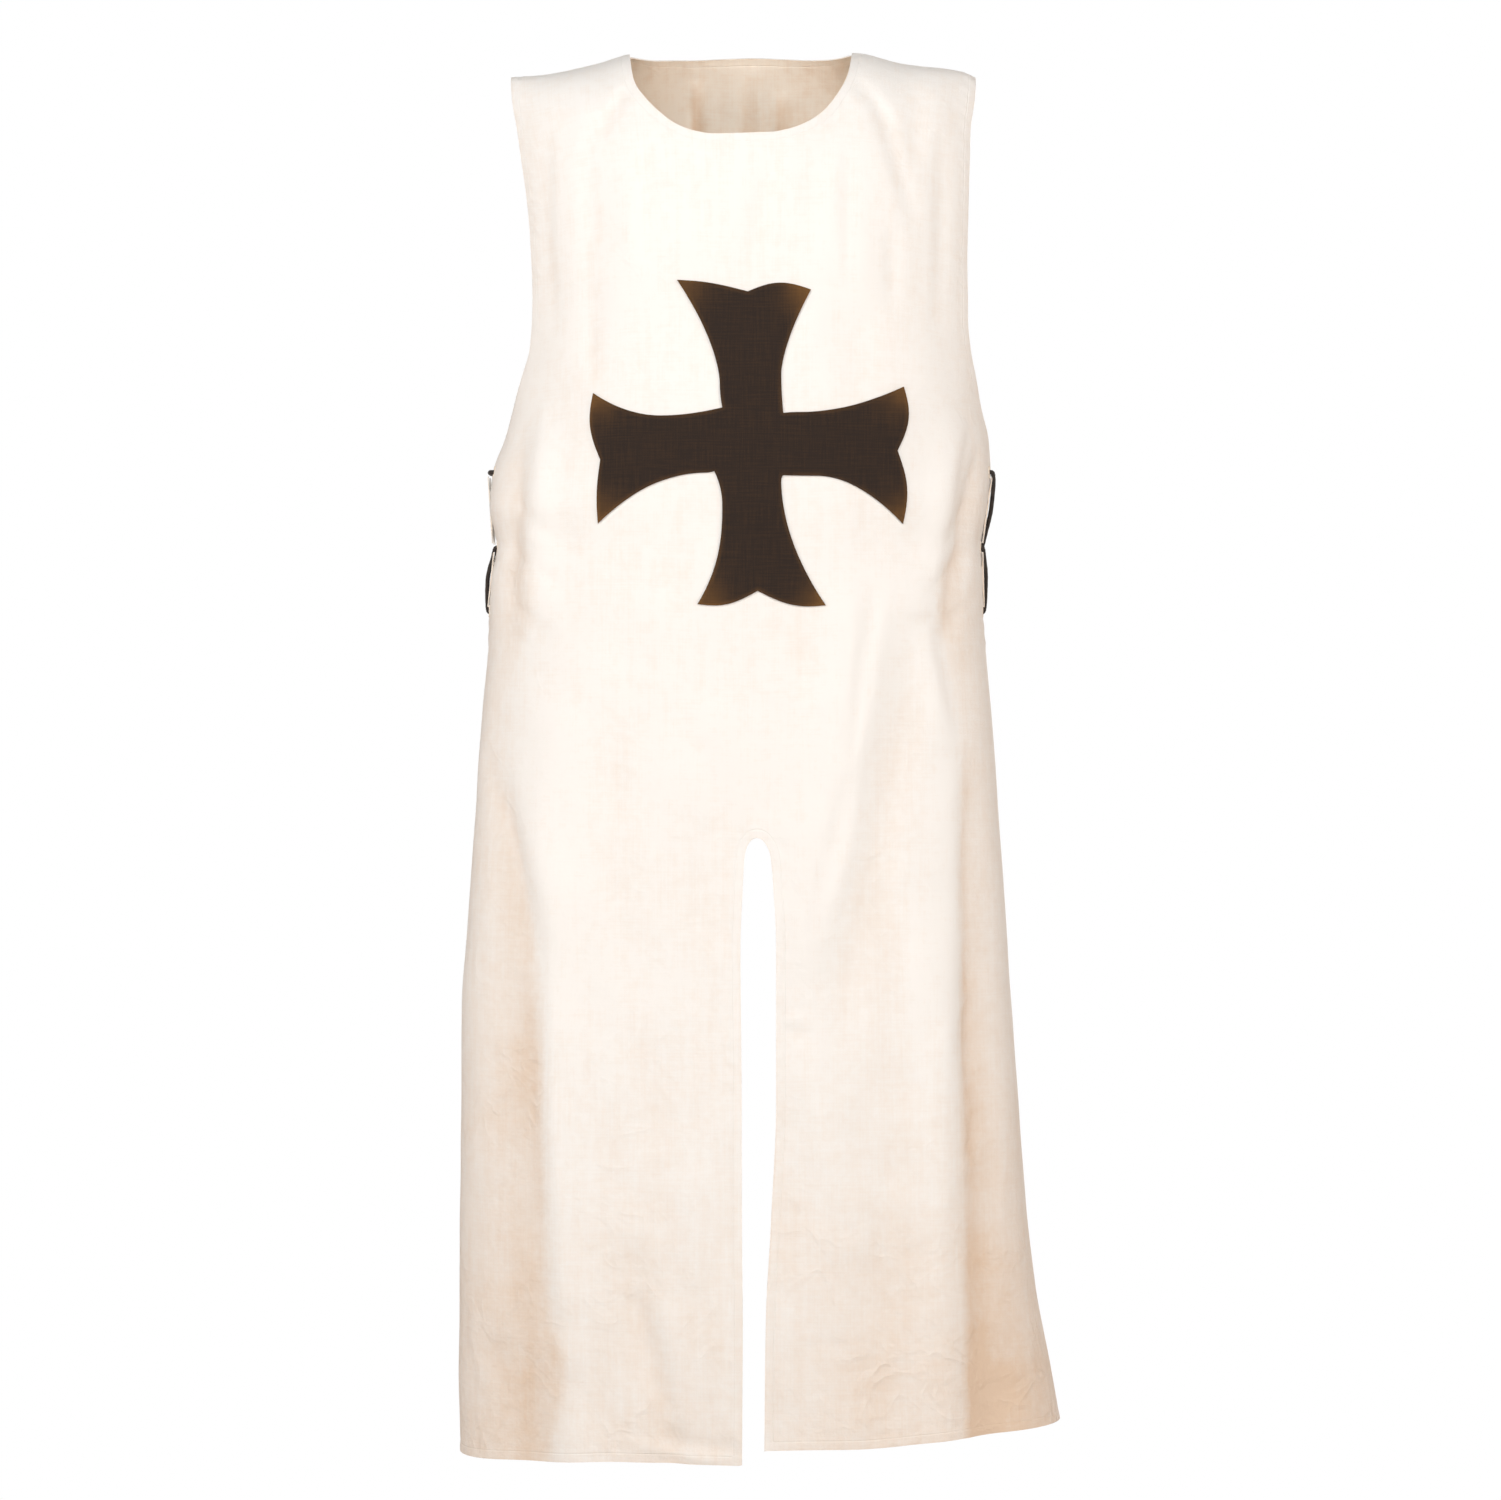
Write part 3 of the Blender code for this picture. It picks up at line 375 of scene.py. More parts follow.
# The creases: a curve through three points, how wide the crease is to the left and to the right of it,
# and how far it stands out. One that ends below HEM_OUT runs on over the hem, as far as HEM_REACH.
CREASE_STEPS, HEM_OUT, HEM_REACH = 21, -1.245, 0.1
CREASES = {"front": table(
    "x0 z0 x1 z1 x2 z2 left right height",
    (-141, -65, -139, -175, -137, -284, 9, 12, -2.5),
    (-137, -258, -137, -279, -135, -309, 7, 7, -2.3),
    (-85, -88, -87, -148, -85, -207, 7, 10, -1.9),
    (-56, -90, -39, -148, -27, -216, 6, 11, -2.6),
    (-6, -101, -6, -153, -3, -204, 14, 14, 1.9),
    (39, -90, 23, -139, 14, -207, 10, 6, -2.3),
    (66, -103, 63, -148, 63, -193, 10, 10, -1.2),
    (98, -78, 96, -148, 98, -234, 8, 9, -2),
    (125, -54, 141, -108, 161, -171, 8, 7, -2.6),
    (136, -171, 136, -211, 137, -252, 6, 8, -2),
    (-178, -74, -178, -166, -172, -270, 10, 8, -2.6),
    (183, -74, 182, -166, 179, -270, 8, 10, -2.6),
    (-99, -35, -117, -58, -132, -92, 6, 9, -2.6),
    (103, -29, 123, -54, 143, -90, 9, 6, -2.6),
    (-164, -38, -159, -67, -159, -117, 9, 9, -1.4),
    (165, -35, 161, -67, 161, -112, 9, 9, -1.4),
    (-181, -324, -187, -428, -196, -550, 9, 20, 5.6),
    (-201, -342, -208, -437, -213, -554, 16, 8, -5.6),
    (-215, -463, -195, -473, -162, -502, 6, 6, -2.2),
    (-218, -412, -200, -423, -174, -448, 6, 6, -1.9),
    (-214, -511, -194, -525, -171, -556, 7, 7, -1.9),
    (-213, -437, -191, -451, -164, -466, 8, 8, 1.4),
    (214, -463, 192, -478, 164, -511, 6, 6, -2.2),
    (220, -417, 199, -433, 177, -473, 6, 6, -1.9),
    (219, -502, 199, -520, 177, -559, 7, 7, -1.9),
    (219, -441, 195, -457, 170, -480, 8, 8, 1.4),
    (204, -340, 187, -419, 170, -532, 20, 7, 5.6),
    (220, -365, 202, -441, 184, -545, 7, 14, -6.3),
    (169, -525, 177, -581, 194, -643, 18, 6, 4.9),
    (122, -491, 112, -563, 96, -664, 12, 6, -4.4),
    (96, -658, 85, -735, 63, -820, 13, 6, -4),
    (85, -730, 80, -766, 69, -802, 6, 10, 2.3),
    (55, -542, 59, -571, 58, -605, 7, 7, -2.5),
    (-35, -632, -25, -676, -14, -722, 12, 12, -2.6),
    (-59, -599, -47, -626, -38, -654, 12, 12, -1.4),
    (192, -631, 190, -834, 193, -987, 22, 6, 3),
    (204, -640, 206, -834, 206, -996, 6, 24, -6),
    (193, -978, 194, -1123, 197, -1256, 24, 10, -2.2),
    (209, -980, 209, -1123, 213, -1256, 6, 26, -1.8),
    (222, -960, 213, -987, 204, -1019, 8, 8, -2.6),
    (236, -1032, 233, -1132, 242, -1231, 12, 12, 3.2),
    (195, -885, 202, -873, 217, -865, 4, 4, 2.3),
    (186, -888, 185, -906, 187, -921, 4, 5, 2),
    (37, -894, 46, -888, 56, -885, 4, 4, 2.2),
    (40, -906, 53, -901, 63, -901, 5, 5, -1.4),
    (-214, -620, -193, -727, -160, -842, 8, 24, 4.6),
    (-233, -640, -210, -735, -178, -862, 14, 7, -5),
    (-172, -829, -167, -1005, -148, -1224, 6, 26, 5),
    (-192, -850, -187, -1005, -170, -1190, 18, 6, -5.6),
    (-225, -888, -222, -908, -218, -926, 4, 5, 1.9),
    (-85, -1134, -70, -1166, -52, -1253, 5, 13, 3.2),
    (-97, -1132, -83, -1172, -70, -1253, 12, 6, -2.5),
    (-167, -1163, -160, -1186, -153, -1213, 6, 12, 2),
    (-248, -1157, -242, -1195, -231, -1235, 5, 6, 2.5),
    (-225, -1177, -222, -1204, -218, -1235, 8, 8, -1.7),
    (-113, -1265, -81, -1273, -34, -1282, 4, 4, 1.7),
    (-92, -1256, -63, -1263, -20, -1271, 5, 5, -1.3),
    (41, -1060, 48, -1059, 57, -1060, 4, 4, -1.4),
    (97, -1070, 98, -1079, 99, -1088, 4, 5, -1.6),
    (58, -1175, 58, -1180, 59, -1188, 4, 4, -1.6),
    (76, -1181, 81, -1180, 89, -1182, 4, 4, -1.6),
    (124, -1007, 130, -1025, 137, -1043, 6, 6, -1.7),
    (74, -1209, 80, -1215, 89, -1217, 4, 5, 1.4),
    (-38, -744, -32, -834, -30, -924, 14, 14, -1.7),
    (-119, -599, -117, -735, -113, -852, 18, 18, -1.7),
    (134, -762, 139, -870, 136, -978, 16, 16, -2),
    (116, -1087, 123, -1168, 125, -1249, 14, 14, -2.3),
    (-47, -978, -43, -1069, -47, -1132, 13, 13, 1.7),
)}


def crease_relief(points, face):
    """Every crease's height at the points: a bell across its line, as wide as the side of the line that
    the point lies on, swelling from nothing and dying away as half a sine wave along it."""
    total = np.zeros(points.shape[:-1])
    along = np.linspace(0, 1, CREASE_STEPS)
    shares = np.stack([(1 - along) * (1 - 2 * along), 4 * along * (1 - along), along * (2 * along - 1)])
    for crease in CREASES[face]:
        path = cloth_place(*np.reshape(crease[:6], (3, 2)).T @ shares, face)
        margin = 3 * max(crease.left, crease.right)
        to_hem = crease.z2 < HEM_OUT
        low = path.min(axis=0) - margin - (0, 0, HEM_REACH * to_hem)
        close = np.all((points > low) & (points < path.max(axis=0) + margin), axis=-1)
        offset = points[close][:, None] - path
        nearest = (offset**2).sum(axis=-1).argmin(axis=1)
        offset = offset[np.arange(len(nearest)), nearest]
        step = np.gradient(path, axis=0)[nearest]
        stride = np.linalg.norm(step, axis=-1)
        ahead = (offset * step).sum(axis=-1) / stride
        across = np.sqrt(np.maximum((offset**2).sum(axis=-1) - ahead**2, 0))
        rightwards = offset[:, 2] * step[:, 0] > offset[:, 0] * step[:, 2]
        place = np.clip(along[nearest] + ahead / stride / (CREASE_STEPS - 1), 0, 1)
        swell = np.sin(math.pi * (np.minimum(place, 0.5) if to_hem else place)) ** FOLD_FADE
        total[close] += crease.height * swell * bell(across, np.where(rightwards, crease.right, crease.left))
    return total


# The slight unevenness of washed cloth: waves of uneven length across and down, each with its phase.
WAVES = table(
    "across down phase height",
    (93, 610, 400, 0.45), (-131, 430, 2100, 0.4), (57, 970, 1200, 0.28), (211, -173, 3000, 0.4),
    (-83, -119, 5200, 0.22), (47, 290, 4400, 0.18), (149, 71, 900, 0.16), (-37, 171, 2700, 0.12),
)
# Folds die away over the last share of the way to the side and the first height below the shoulder, and
# creases and waves over a depth from the side seam.
FOLD_CALM, SHOULDER_CALM, SIDE_CALM = 0.12, 0.10, 0.03


def hanging_relief(points, face):
    """How far the cloth stands out at the points: large folds, creases, and waves as sines of the
    place across and down, all dying away towards the side seams."""
    x, y, z = np.moveaxis(points, -1, 0)
    calm = np.clip((1 - abs(x) / by_side(SECTIONS, x, z)) / FOLD_CALM, 0, 1) ** 2
    waves = sum(w.height * np.sin(2 * math.pi * (x / w.across + z / w.down) + w.phase) for w in WAVES)
    fine = (crease_relief(points, face) + waves) * np.clip(abs(y) / SIDE_CALM, 0, 1)
    return fold_relief(x, z, face) * calm * np.clip(-z / SHOULDER_CALM, 0, 1) + fine


# The turned hems stand a little proud up to their stitches, which pucker the cloth; a sewn seam sinks.
HEM_WIDTH, HEM_RAISE, HEM_SOFT = 0.0085, 0.00035, 0.0006
PUCKER_HEIGHT, PUCKER_REACH, PUCKER_PITCH = 0.00035, 0.006, 0.0145
PUCKER_DRIFT, DRIFT_LENGTH = 2.2, 0.083  # how unevenly the puckers follow each other
SEAM_SINK, SEAM_WIDTH = 0.0009, 0.0025


def distance_to_line(points, line, reach=0.025, run=12):
    """Distance from each point to the nearest place on a line of points, as far as the reach. The line
    is taken a run of steps at a time, each against the points that are close to it."""
    nearest = np.full(len(points), reach)
    for first in range(0, len(line) - 1, run):
        part = line[first : first + run + 1]
        close = np.all((points > part.min(axis=0) - reach) & (points < part.max(axis=0) + reach), axis=-1)
        step = np.diff(part, axis=0)
        offset = points[close][:, None] - part[:-1]
        share = np.clip((offset * step).sum(-1) / np.maximum((step**2).sum(-1), 1e-12), 0, 1)
        found = np.linalg.norm(offset - share[..., None] * step, axis=-1).min(axis=-1)
        nearest[close] = np.minimum(nearest[close], found)
    return nearest


def sewing_relief(points, hem, seam):
    """The raised band of the turned hems, the puckers along their stitches, and the sunk seams."""
    band = HEM_RAISE / (1 + np.exp((hem - HEM_WIDTH) / HEM_SOFT))
    along = 2 * math.pi * (points[..., 0] + points[..., 2])
    pucker = np.sin(along / PUCKER_PITCH + PUCKER_DRIFT * np.sin(along / DRIFT_LENGTH))
    pucker *= PUCKER_HEIGHT * bell(hem - HEM_WIDTH, PUCKER_REACH)
    return band + pucker - SEAM_SINK * bell(seam, SEAM_WIDTH)


EYELET_IN = 0.0145  # from the middle of the opening to the middle of an eyelet
EYELET_RADIUS = 0.0040
EYELET_CUT = 0.95  # the share of that radius within which a face is cut away


def eyelet_offsets(grid):
    """How far each point lies from its nearest eyelet's middle, across and up the cloth."""
    across = lengths_along(grid, 1)
    eyelet = np.array([np.interp(-EYELET_IN, -abs(y), length) for y, length in zip(grid[..., 1], across)])
    levels = np.array(LACING_Z)
    nearest = levels[abs(grid[..., 2:] - levels).argmin(axis=-1)]
    return across - eyelet[:, None], grid[..., 2] - nearest


def corners_of(grid):
    """The four corners of every face of a grid, [row, column, corner]."""
    return np.stack([grid[:-1, :-1], grid[:-1, 1:], grid[1:, 1:], grid[1:, :-1]], axis=-1)


def unit(vectors):
    """The vectors drawn to a length of one."""
    return vectors / np.maximum(np.linalg.norm(vectors, axis=-1, keepdims=True), 1e-12)


def half_panel(face, sign):
    """One half of a panel: its points, their places on the flat cloth, their distances from the nearest
    hem and seam, the pull of each eyelet's rim to its circle, and which faces are cloth and which lie
    outside the eyelets."""
    grid, share, corner_row, corner_col = half_grid(face, sign)
    across, up = lengths_along(grid, 1), lengths_along(grid, 0)
    flat_x = grid[:, :1, 0] + sign * across
    chest, seam_row = row_at(face, CHEST_Z), row_at(face, SEAM_Z)
    flat_x[chest:] = np.interp(share[chest:], share[chest], sign * flat_x[chest]) * sign
    neckline = np.concatenate([grid[corner_row, :corner_col], grid[corner_row:, corner_col]])
    hems = (grid[0], grid[: row_at(face, SLIT_TOP_Z[face]) + 1, 0], neckline, grid[seam_row:, -1])
    hem, seam = (np.min([distance_to_line(grid.reshape(-1, 3), line) for line in lines], axis=0)
                 for lines in (hems, (grid[: seam_row + 1, -1], grid[-1, corner_col:])))
    aside, above = eyelet_offsets(grid)
    middles = (corners_of(offset).mean(axis=-1) for offset in (aside, above))
    outside = np.hypot(*middles) > EYELET_RADIUS * EYELET_CUT
    beside = corners_of(np.pad(outside, 1, mode="edge")).mean(axis=-1)
    on_rim = (beside > 0) & (beside < 1)  # some of the faces beside the point are cut away
    pull = np.where(on_rim, EYELET_RADIUS / np.maximum(np.hypot(aside, above), 1e-9) - 1, 0)
    rim = np.zeros_like(grid)
    for offset, axis in ((aside, 1), (above, 0)):
        rim += (pull * offset)[..., None] * unit(np.gradient(grid, axis=axis))
    rows, cols = np.indices(outside.shape)
    return {"points": grid, "cut": np.stack([flat_x, grid[0, :, 2] + up], axis=-1), "hem": hem, "seam": seam,
            "rim": rim, "cloth": (rows < corner_row) | (cols >= corner_col), "outside": outside}


def point_normals(points, faces):
    """Unit normals at the points: the sum of the normals of the faces round each."""
    a, b, c, d = (points[faces[:, corner]] for corner in range(4))
    total = np.zeros_like(points)
    for corner in range(4):
        np.add.at(total, faces[:, corner], np.cross(c - a, d - b))
    return unit(total)


def new_piece(name, points, faces, material, cut=None, values={}):
    """A mesh object at the origin from arrays of points and faces, with the places of its points on
    the flat cloth as its UV map and other values as attributes."""
    mesh = bpy.data.meshes.new(name)
    mesh.from_pydata(points.tolist(), [], faces.tolist())
    if cut is not None:
        corners = np.empty(len(mesh.loops), int)
        mesh.loops.foreach_get("vertex_index", corners)
        mesh.uv_layers.new(name="cut").data.foreach_set("uv", cut[corners].ravel())
    for key, numbers in values.items():
        mesh.attributes.new(key, "FLOAT", "POINT").data.foreach_set("value", numbers.astype(np.float32))
    mesh.materials.append(material)
    mesh.shade_smooth()
    return placed(name, mesh)


def thicken(piece, thickness, offset=-1.0, inside=0, sharp=math.radians(50)):
    """Gives a sheet its thickness, keeps the result as its mesh, and leaves its edges sharp. The
    inside takes the material that many after the first."""
    wall = piece.modifiers.new("thickness", "SOLIDIFY")
    wall.thickness, wall.offset, wall.use_rim, wall.material_offset = thickness, offset, True, inside
    mesh = bpy.data.meshes.new_from_object(piece.evaluated_get(bpy.context.evaluated_depsgraph_get()))
    piece.modifiers.clear()
    piece.data = mesh
    mesh.set_sharp_from_angle(angle=sharp)


# Painted shade: the canvas turns darker and tan where less light falls: in a band down each side, where the
# cloth turns from the lights, which starts that far out at each height and pales again towards the seam;
# towards the hem, more so on the wearer's left; and in the creases.
SHADE_BANDS = table(
    "z left right",
    (-300, 226, 226), (-380, 198, 212), (-450, 188, 192), (-509, 182, 174),
    (-563, 204, 184), (-645, 224, 195), (-726, 205, 195), (-780, 194, 194),
    (-843, 177, 194), (-1140, 168, 196), (-1205, 153, 197), (-1290, 168, 200),
)
BAND_RUN, BAND_PALE, BAND_FADE = 0.011, 0.9, 0.28  # how soft its edge is; how far it pales, over what share
SHADE_SIDES, SHADE_HEM, SHADE_LEFT, SHADE_CREASE = (0.44, 0.57), 0.22, 0.20, 0.17
CHEST_RUN, HEM_FROM, HEM_RUN, LEFT_RUN = 0.2, -0.85, 0.42, 0.12  # where it comes in, and over what length
CREASE_FULL, RIDGE_FULL = 0.006, 0.3  # the depth of a crease in full painted shade; a ridge's share of painted highlight


def shade_to_paint(points, height):
    """How much painted shade the cloth takes at each point, from 0 to 1, by its place and its height over the
    smooth cloth, and below 0 on ridges as a painted highlight.
    """
    x, z = points[:, 0], points[:, 2]
    # Painted shade down the sides, towards the hem and the wearer's left, and in troughs; painted highlight
    # on ridges.
    band = np.clip((abs(x) - by_side(SHADE_BANDS, x, z)) / BAND_RUN, 0, 1) * np.where(x < 0, *SHADE_SIDES)
    band *= 1 - BAND_PALE * np.clip((abs(x) / by_side(SECTIONS, x, z) - 1) / BAND_FADE + 1, 0, 1)
    hem = np.clip((HEM_FROM - z) / HEM_RUN, 0, 1) * (SHADE_HEM + SHADE_LEFT * np.clip(x / LEFT_RUN, 0, 1))
    below = np.clip((CHEST_Z - z) / CHEST_RUN, 0, 1)
    return below * band + hem - SHADE_CREASE * np.clip(height / CREASE_FULL, -1, RIDGE_FULL)


def canvas_panel(name, face, materials, thickness):
    """A panel in one sheet: its halves share the middle column from the slit's top upwards. Its first
    material is outside, its second inside."""
    halves, top_row = [half_panel(face, sign) for sign in SIDES], row_at(face, SLIT_TOP_Z[face])
    left = np.arange(halves[0]["hem"].size).reshape(halves[0]["points"].shape[:2])
    right = left + left.size
    right[top_row:, 0] = left[top_row:, 0]
    corners, turned = [corners_of(left), corners_of(right)], 0 if face == "front" else 1
    corners[turned] = corners[turned][..., ::-1]
    faces = np.concatenate([corner[half["cloth"]] for corner, half in zip(corners, halves)])
    outside = np.concatenate([half["outside"][half["cloth"]] for half in halves])
    points, cut, rim = (np.concatenate([half[key].reshape(left.size, -1) for half in halves])
                        for key in ("points", "cut", "rim"))
    hem, seam = (np.concatenate([half[key] for half in halves]) for key in ("hem", "seam"))
    height = hanging_relief(points, face) + sewing_relief(points, hem, seam)
    moved = points + point_normals(points, faces) * height[:, None] + rim
    used, faces = np.unique(faces[outside], return_inverse=True)
    # The points carry their painted shade, and the depth of each trough, which the inside canvas paints as
    # shade along its folds.
    values = {"hem": hem, "seam": seam, "painted_shade": shade_to_paint(points, height),
              "fold": np.clip(-height / CREASE_FULL, 0, 1)}
    piece = new_piece(name, moved[used], faces.reshape(-1, 4), materials[0], cut[used],
                      {key: numbers[used] for key, numbers in values.items()})
    piece.data.materials.append(materials[1])
    thicken(piece, thickness, inside=1)
    return piece


def feed(socket, value):
    """Gives an input a number or a colour, or links another node's output to it."""
    if isinstance(value, Value):
        value.tree.links.new(value.socket, socket)
    else:
        socket.default_value = (*value, 1) if isinstance(value, tuple) else value


class Value:
    """A number that a material works out at each point. Arithmetic on it adds the nodes that do it."""

    def __init__(self, socket):
        self.socket, self.tree = socket, socket.id_data

    def step(self, operation, other=0.0):
        """One step of arithmetic with another value or a number."""
        made = self.tree.nodes.new("ShaderNodeMath")
        made.operation = operation
        feed(made.inputs[0], self)
        feed(made.inputs[1], other)
        return Value(made.outputs[0])

    __add__ = partialmethod(step, "ADD")
    __sub__ = partialmethod(step, "SUBTRACT")
    __mul__ = partialmethod(step, "MULTIPLY")
    __truediv__ = partialmethod(step, "DIVIDE")
    __abs__ = partialmethod(step, "ABSOLUTE")
    sine = partialmethod(step, "SINE")

    def spread(self, low, high, to_low=0.0, to_high=1.0):
        """The value stretched from one range to another and kept inside it."""
        made = self.tree.nodes.new("ShaderNodeMapRange")
        for socket, value in zip(made.inputs, (self, low, high, to_low, to_high)):
            feed(socket, value)
        return Value(made.outputs[0])


class Finish:
    """A material in the making: a shader with its constants, and calls that add a node each."""

    def __init__(self, name, **constants):
        self.material = bpy.data.materials.new(name)
        self.material.use_nodes = True
        self.tree = self.material.node_tree
        self.shader = self.tree.nodes["Principled BSDF"]
        for key, value in constants.items():
            feed(self.shader.inputs[key.replace("_", " ")], value)

    def add(self, kind, output=0, settings={}, **inputs):
        """The value that a new node of the kind gives."""
        made = self.tree.nodes.new("ShaderNode" + kind)
        for key, value in settings.items():
            setattr(made, key, value)
        for key, value in inputs.items():
            feed(made.inputs[key], value)
        return Value(made.outputs[output])

    def noise(self, scale, detail, roughness=0.5, distortion=0.0):
        """Noise of that many specks a metre through the solid, from 0 to 1."""
        return self.add("TexNoise", Vector=self.add("TexCoord", "Object"), Scale=scale, Detail=detail,
                        Roughness=roughness, Distortion=distortion)

    def carried(self, key):
        """A value that the piece's points carry."""
        return self.add("Attribute", "Fac", {"attribute_name": key})

    def painted(self, share, first, second, height=None, strength=1.0):
        """The material, with its two colours mixed by a share, and raised by a height."""
        mix = self.tree.nodes.new("ShaderNodeMix")
        mix.data_type = "RGBA"
        mixed = [socket for socket in mix.inputs if socket.type == "RGBA"]
        for socket, value in zip((mix.inputs[0], *mixed), (share, first, second)):
            feed(socket, value)
        feed(self.shader.inputs["Base Color"], Value([out for out in mix.outputs if out.type == "RGBA"][0]))
        if height:
            bump = self.add("Bump", Height=height, Strength=strength, Distance=1.0)
            feed(self.shader.inputs["Normal"], bump)
        return self.material


THREAD = 0.0009


class Cloth(Finish):
    """Woven cloth, on the places of its points on the flat cut: the weave is the product of two sines."""

    def __init__(self, name, **constants):
        super().__init__(name, **constants)
        split = self.add("SeparateXYZ", Vector=self.add("UVMap", settings={"uv_map": "cut"}))
        self.u, self.v = (Value(split.socket.node.outputs[axis]) for axis in (0, 1))
        turn = 2 * math.pi / THREAD
        self.weave = (self.u * turn).sine() * (self.v * turn).sine()

    def streaks(self, wide, long, seed):
        """Noise drawn out into streaks of that width and length on the flat cloth, from 0 to 1."""
        place = self.add("CombineXYZ", X=self.u / wide, Y=self.v / long, Z=seed)
        return self.add("TexNoise", Vector=place, Scale=1.0, Detail=2.0, Roughness=0.55)


# Plain weave of uneven hand-spun thread, so that thicker stretches show as short streaks both ways,
# cloudy where it was washed, with a dry matt surface.
# The warm colour is both the tan of uneven threads and clouds and the colour of the painted shade.
CANVAS_LIGHT, CANVAS_WARM = (0.800, 0.788, 0.764), (0.690, 0.540, 0.412)
# The inside is a brighter, warmer copy of the canvas: painted light, so that the inside of the back shows
# bright and warm through the neck.
INSIDE_LIGHT, INSIDE_WARM = (0.990, 0.905, 0.790), (0.74, 0.430, 0.205)
CANVAS_THICK, STITCH_IN = 0.0012, 0.0078
WEAVE_RAISE, THREAD_RAISE, STITCH_SINK = 0.00005, 0.00014, 0.00028


def canvas_material(name, light, warm, fold):
    """Plain-woven linen canvas, leaning to its warm colour by random threads, flecks and clouds, by the
    painted shade that its points carry, and by a share as painted shade in its folds, with its threads,
    crumples and broken wrinkles raised and its stitch lines sunk."""
    cloth = Cloth(name, Roughness=0.92, Specular_IOR_Level=0.18, Sheen_Weight=0.12, Sheen_Roughness=0.6)
    threads = (cloth.streaks(0.0016, 0.045, 1) + cloth.streaks(0.040, 0.0016, 2)) * 0.5 + cloth.weave * 0.05
    cloud, hem, painted_shade = cloth.noise(11, 5, 0.65), cloth.carried("hem"), cloth.carried("painted_shade")
    # The tone leans to the warm colour by random threads, flecks, streaks and clouds, and as painted shade by
    # the carried share and, inside, along the folds.
    tone = (threads.spread(0.38, 0.62, -0.05, 0.06) + cloth.noise(90, 3, 0.65).spread(0.3, 0.7, -0.08, 0.08)
            + cloth.streaks(0.009, 0.16, 3).spread(0.35, 0.65, -0.03, 0.045)
            + painted_shade * cloud.spread(0.34, 0.66, 0.72, 1.28) + cloud.spread(0.4, 0.7, 0.0, 0.055)
            + cloth.carried("fold") * fold + hem.spread(0.0, 0.0022, 0.11, 0.0))
    crumple = cloth.noise(38, 4, 0.55) * painted_shade.spread(0.0, 0.4, 0.0011, 0.0032)
    wrinkle = abs(cloth.noise(27, 2, distortion=0.7) - 0.5).spread(0.0, 0.11, 1.0, 0.0)
    wrinkle = wrinkle * painted_shade.spread(0.0, 0.4, 0.0003, 0.0011) * cloud.spread(0.44, 0.58)
    line = abs(hem - STITCH_IN).spread(0.0003, 0.0009, 1.0, 0.0)
    sunk = (line + cloth.carried("seam").spread(0.0, 0.0012, 1.0, 0.0)) * STITCH_SINK
    height = cloth.weave * WEAVE_RAISE + threads * THREAD_RAISE + crumple + wrinkle - sunk
    return cloth.painted(tone.spread(0, 1), light, warm, height, 0.7)


canvas = canvas_material("linen_canvas", CANVAS_LIGHT, CANVAS_WARM, 0.0)
# The inside canvas: painted light in its brighter, warmer colours, and painted shade along its folds.
canvas_inside = canvas_material("linen_canvas_inside", INSIDE_LIGHT, INSIDE_WARM, 0.4)
front = canvas_panel("front_canvas", "front", (canvas, canvas_inside), CANVAS_THICK)
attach(front, "root")
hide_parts("front_panel")

# ---- The back ----
# The same canvas, a little longer and slit a little higher, joined to the front by the shoulder seams
# and by the side seams from below the lacing to the hem. It falls in longer folds from the shoulder blades.
BACK_NECK_RISE = 0.0065
NECK_CORNER["back"], ARCH_ROWS["back"], SLIT_TOP_Z["back"] = 0.75, (58, 8), -0.716
SLITS["back"] = table(
    "drop left right",
    (0, 14, 14), (4, 4, 24), (15, -2, 30), (47, -5.5, 34.5),
    (100, -8, 37.5), (240, -7.5, 38), (345, -7, 35), (440, -6, 31),
    (580, -6, 29),
)
FOLDS["back"] = table(
    "top_x top_z mid_x mid_z foot_x foot_z width height",
    (-60, -20, -62, -150, -70, -300, 26, 4),
    (20, -20, 24, -140, 20, -280, 26, -3.5),
    (-110, -400, -95, -640, -120, -900, 30, 6.5),
    (90, -360, 105, -640, 80, -900, 30, 6.5),
    (135, -760, 150, -1000, 165, -1280, 30, -6.5),
    (-145, -800, -155, -1050, -172, -1280, 30, -6.5),
    (78, -920, 80, -1100, 84, -1280, 30, 6),
    (-78, -940, -75, -1100, -86, -1280, 30, 6),
)
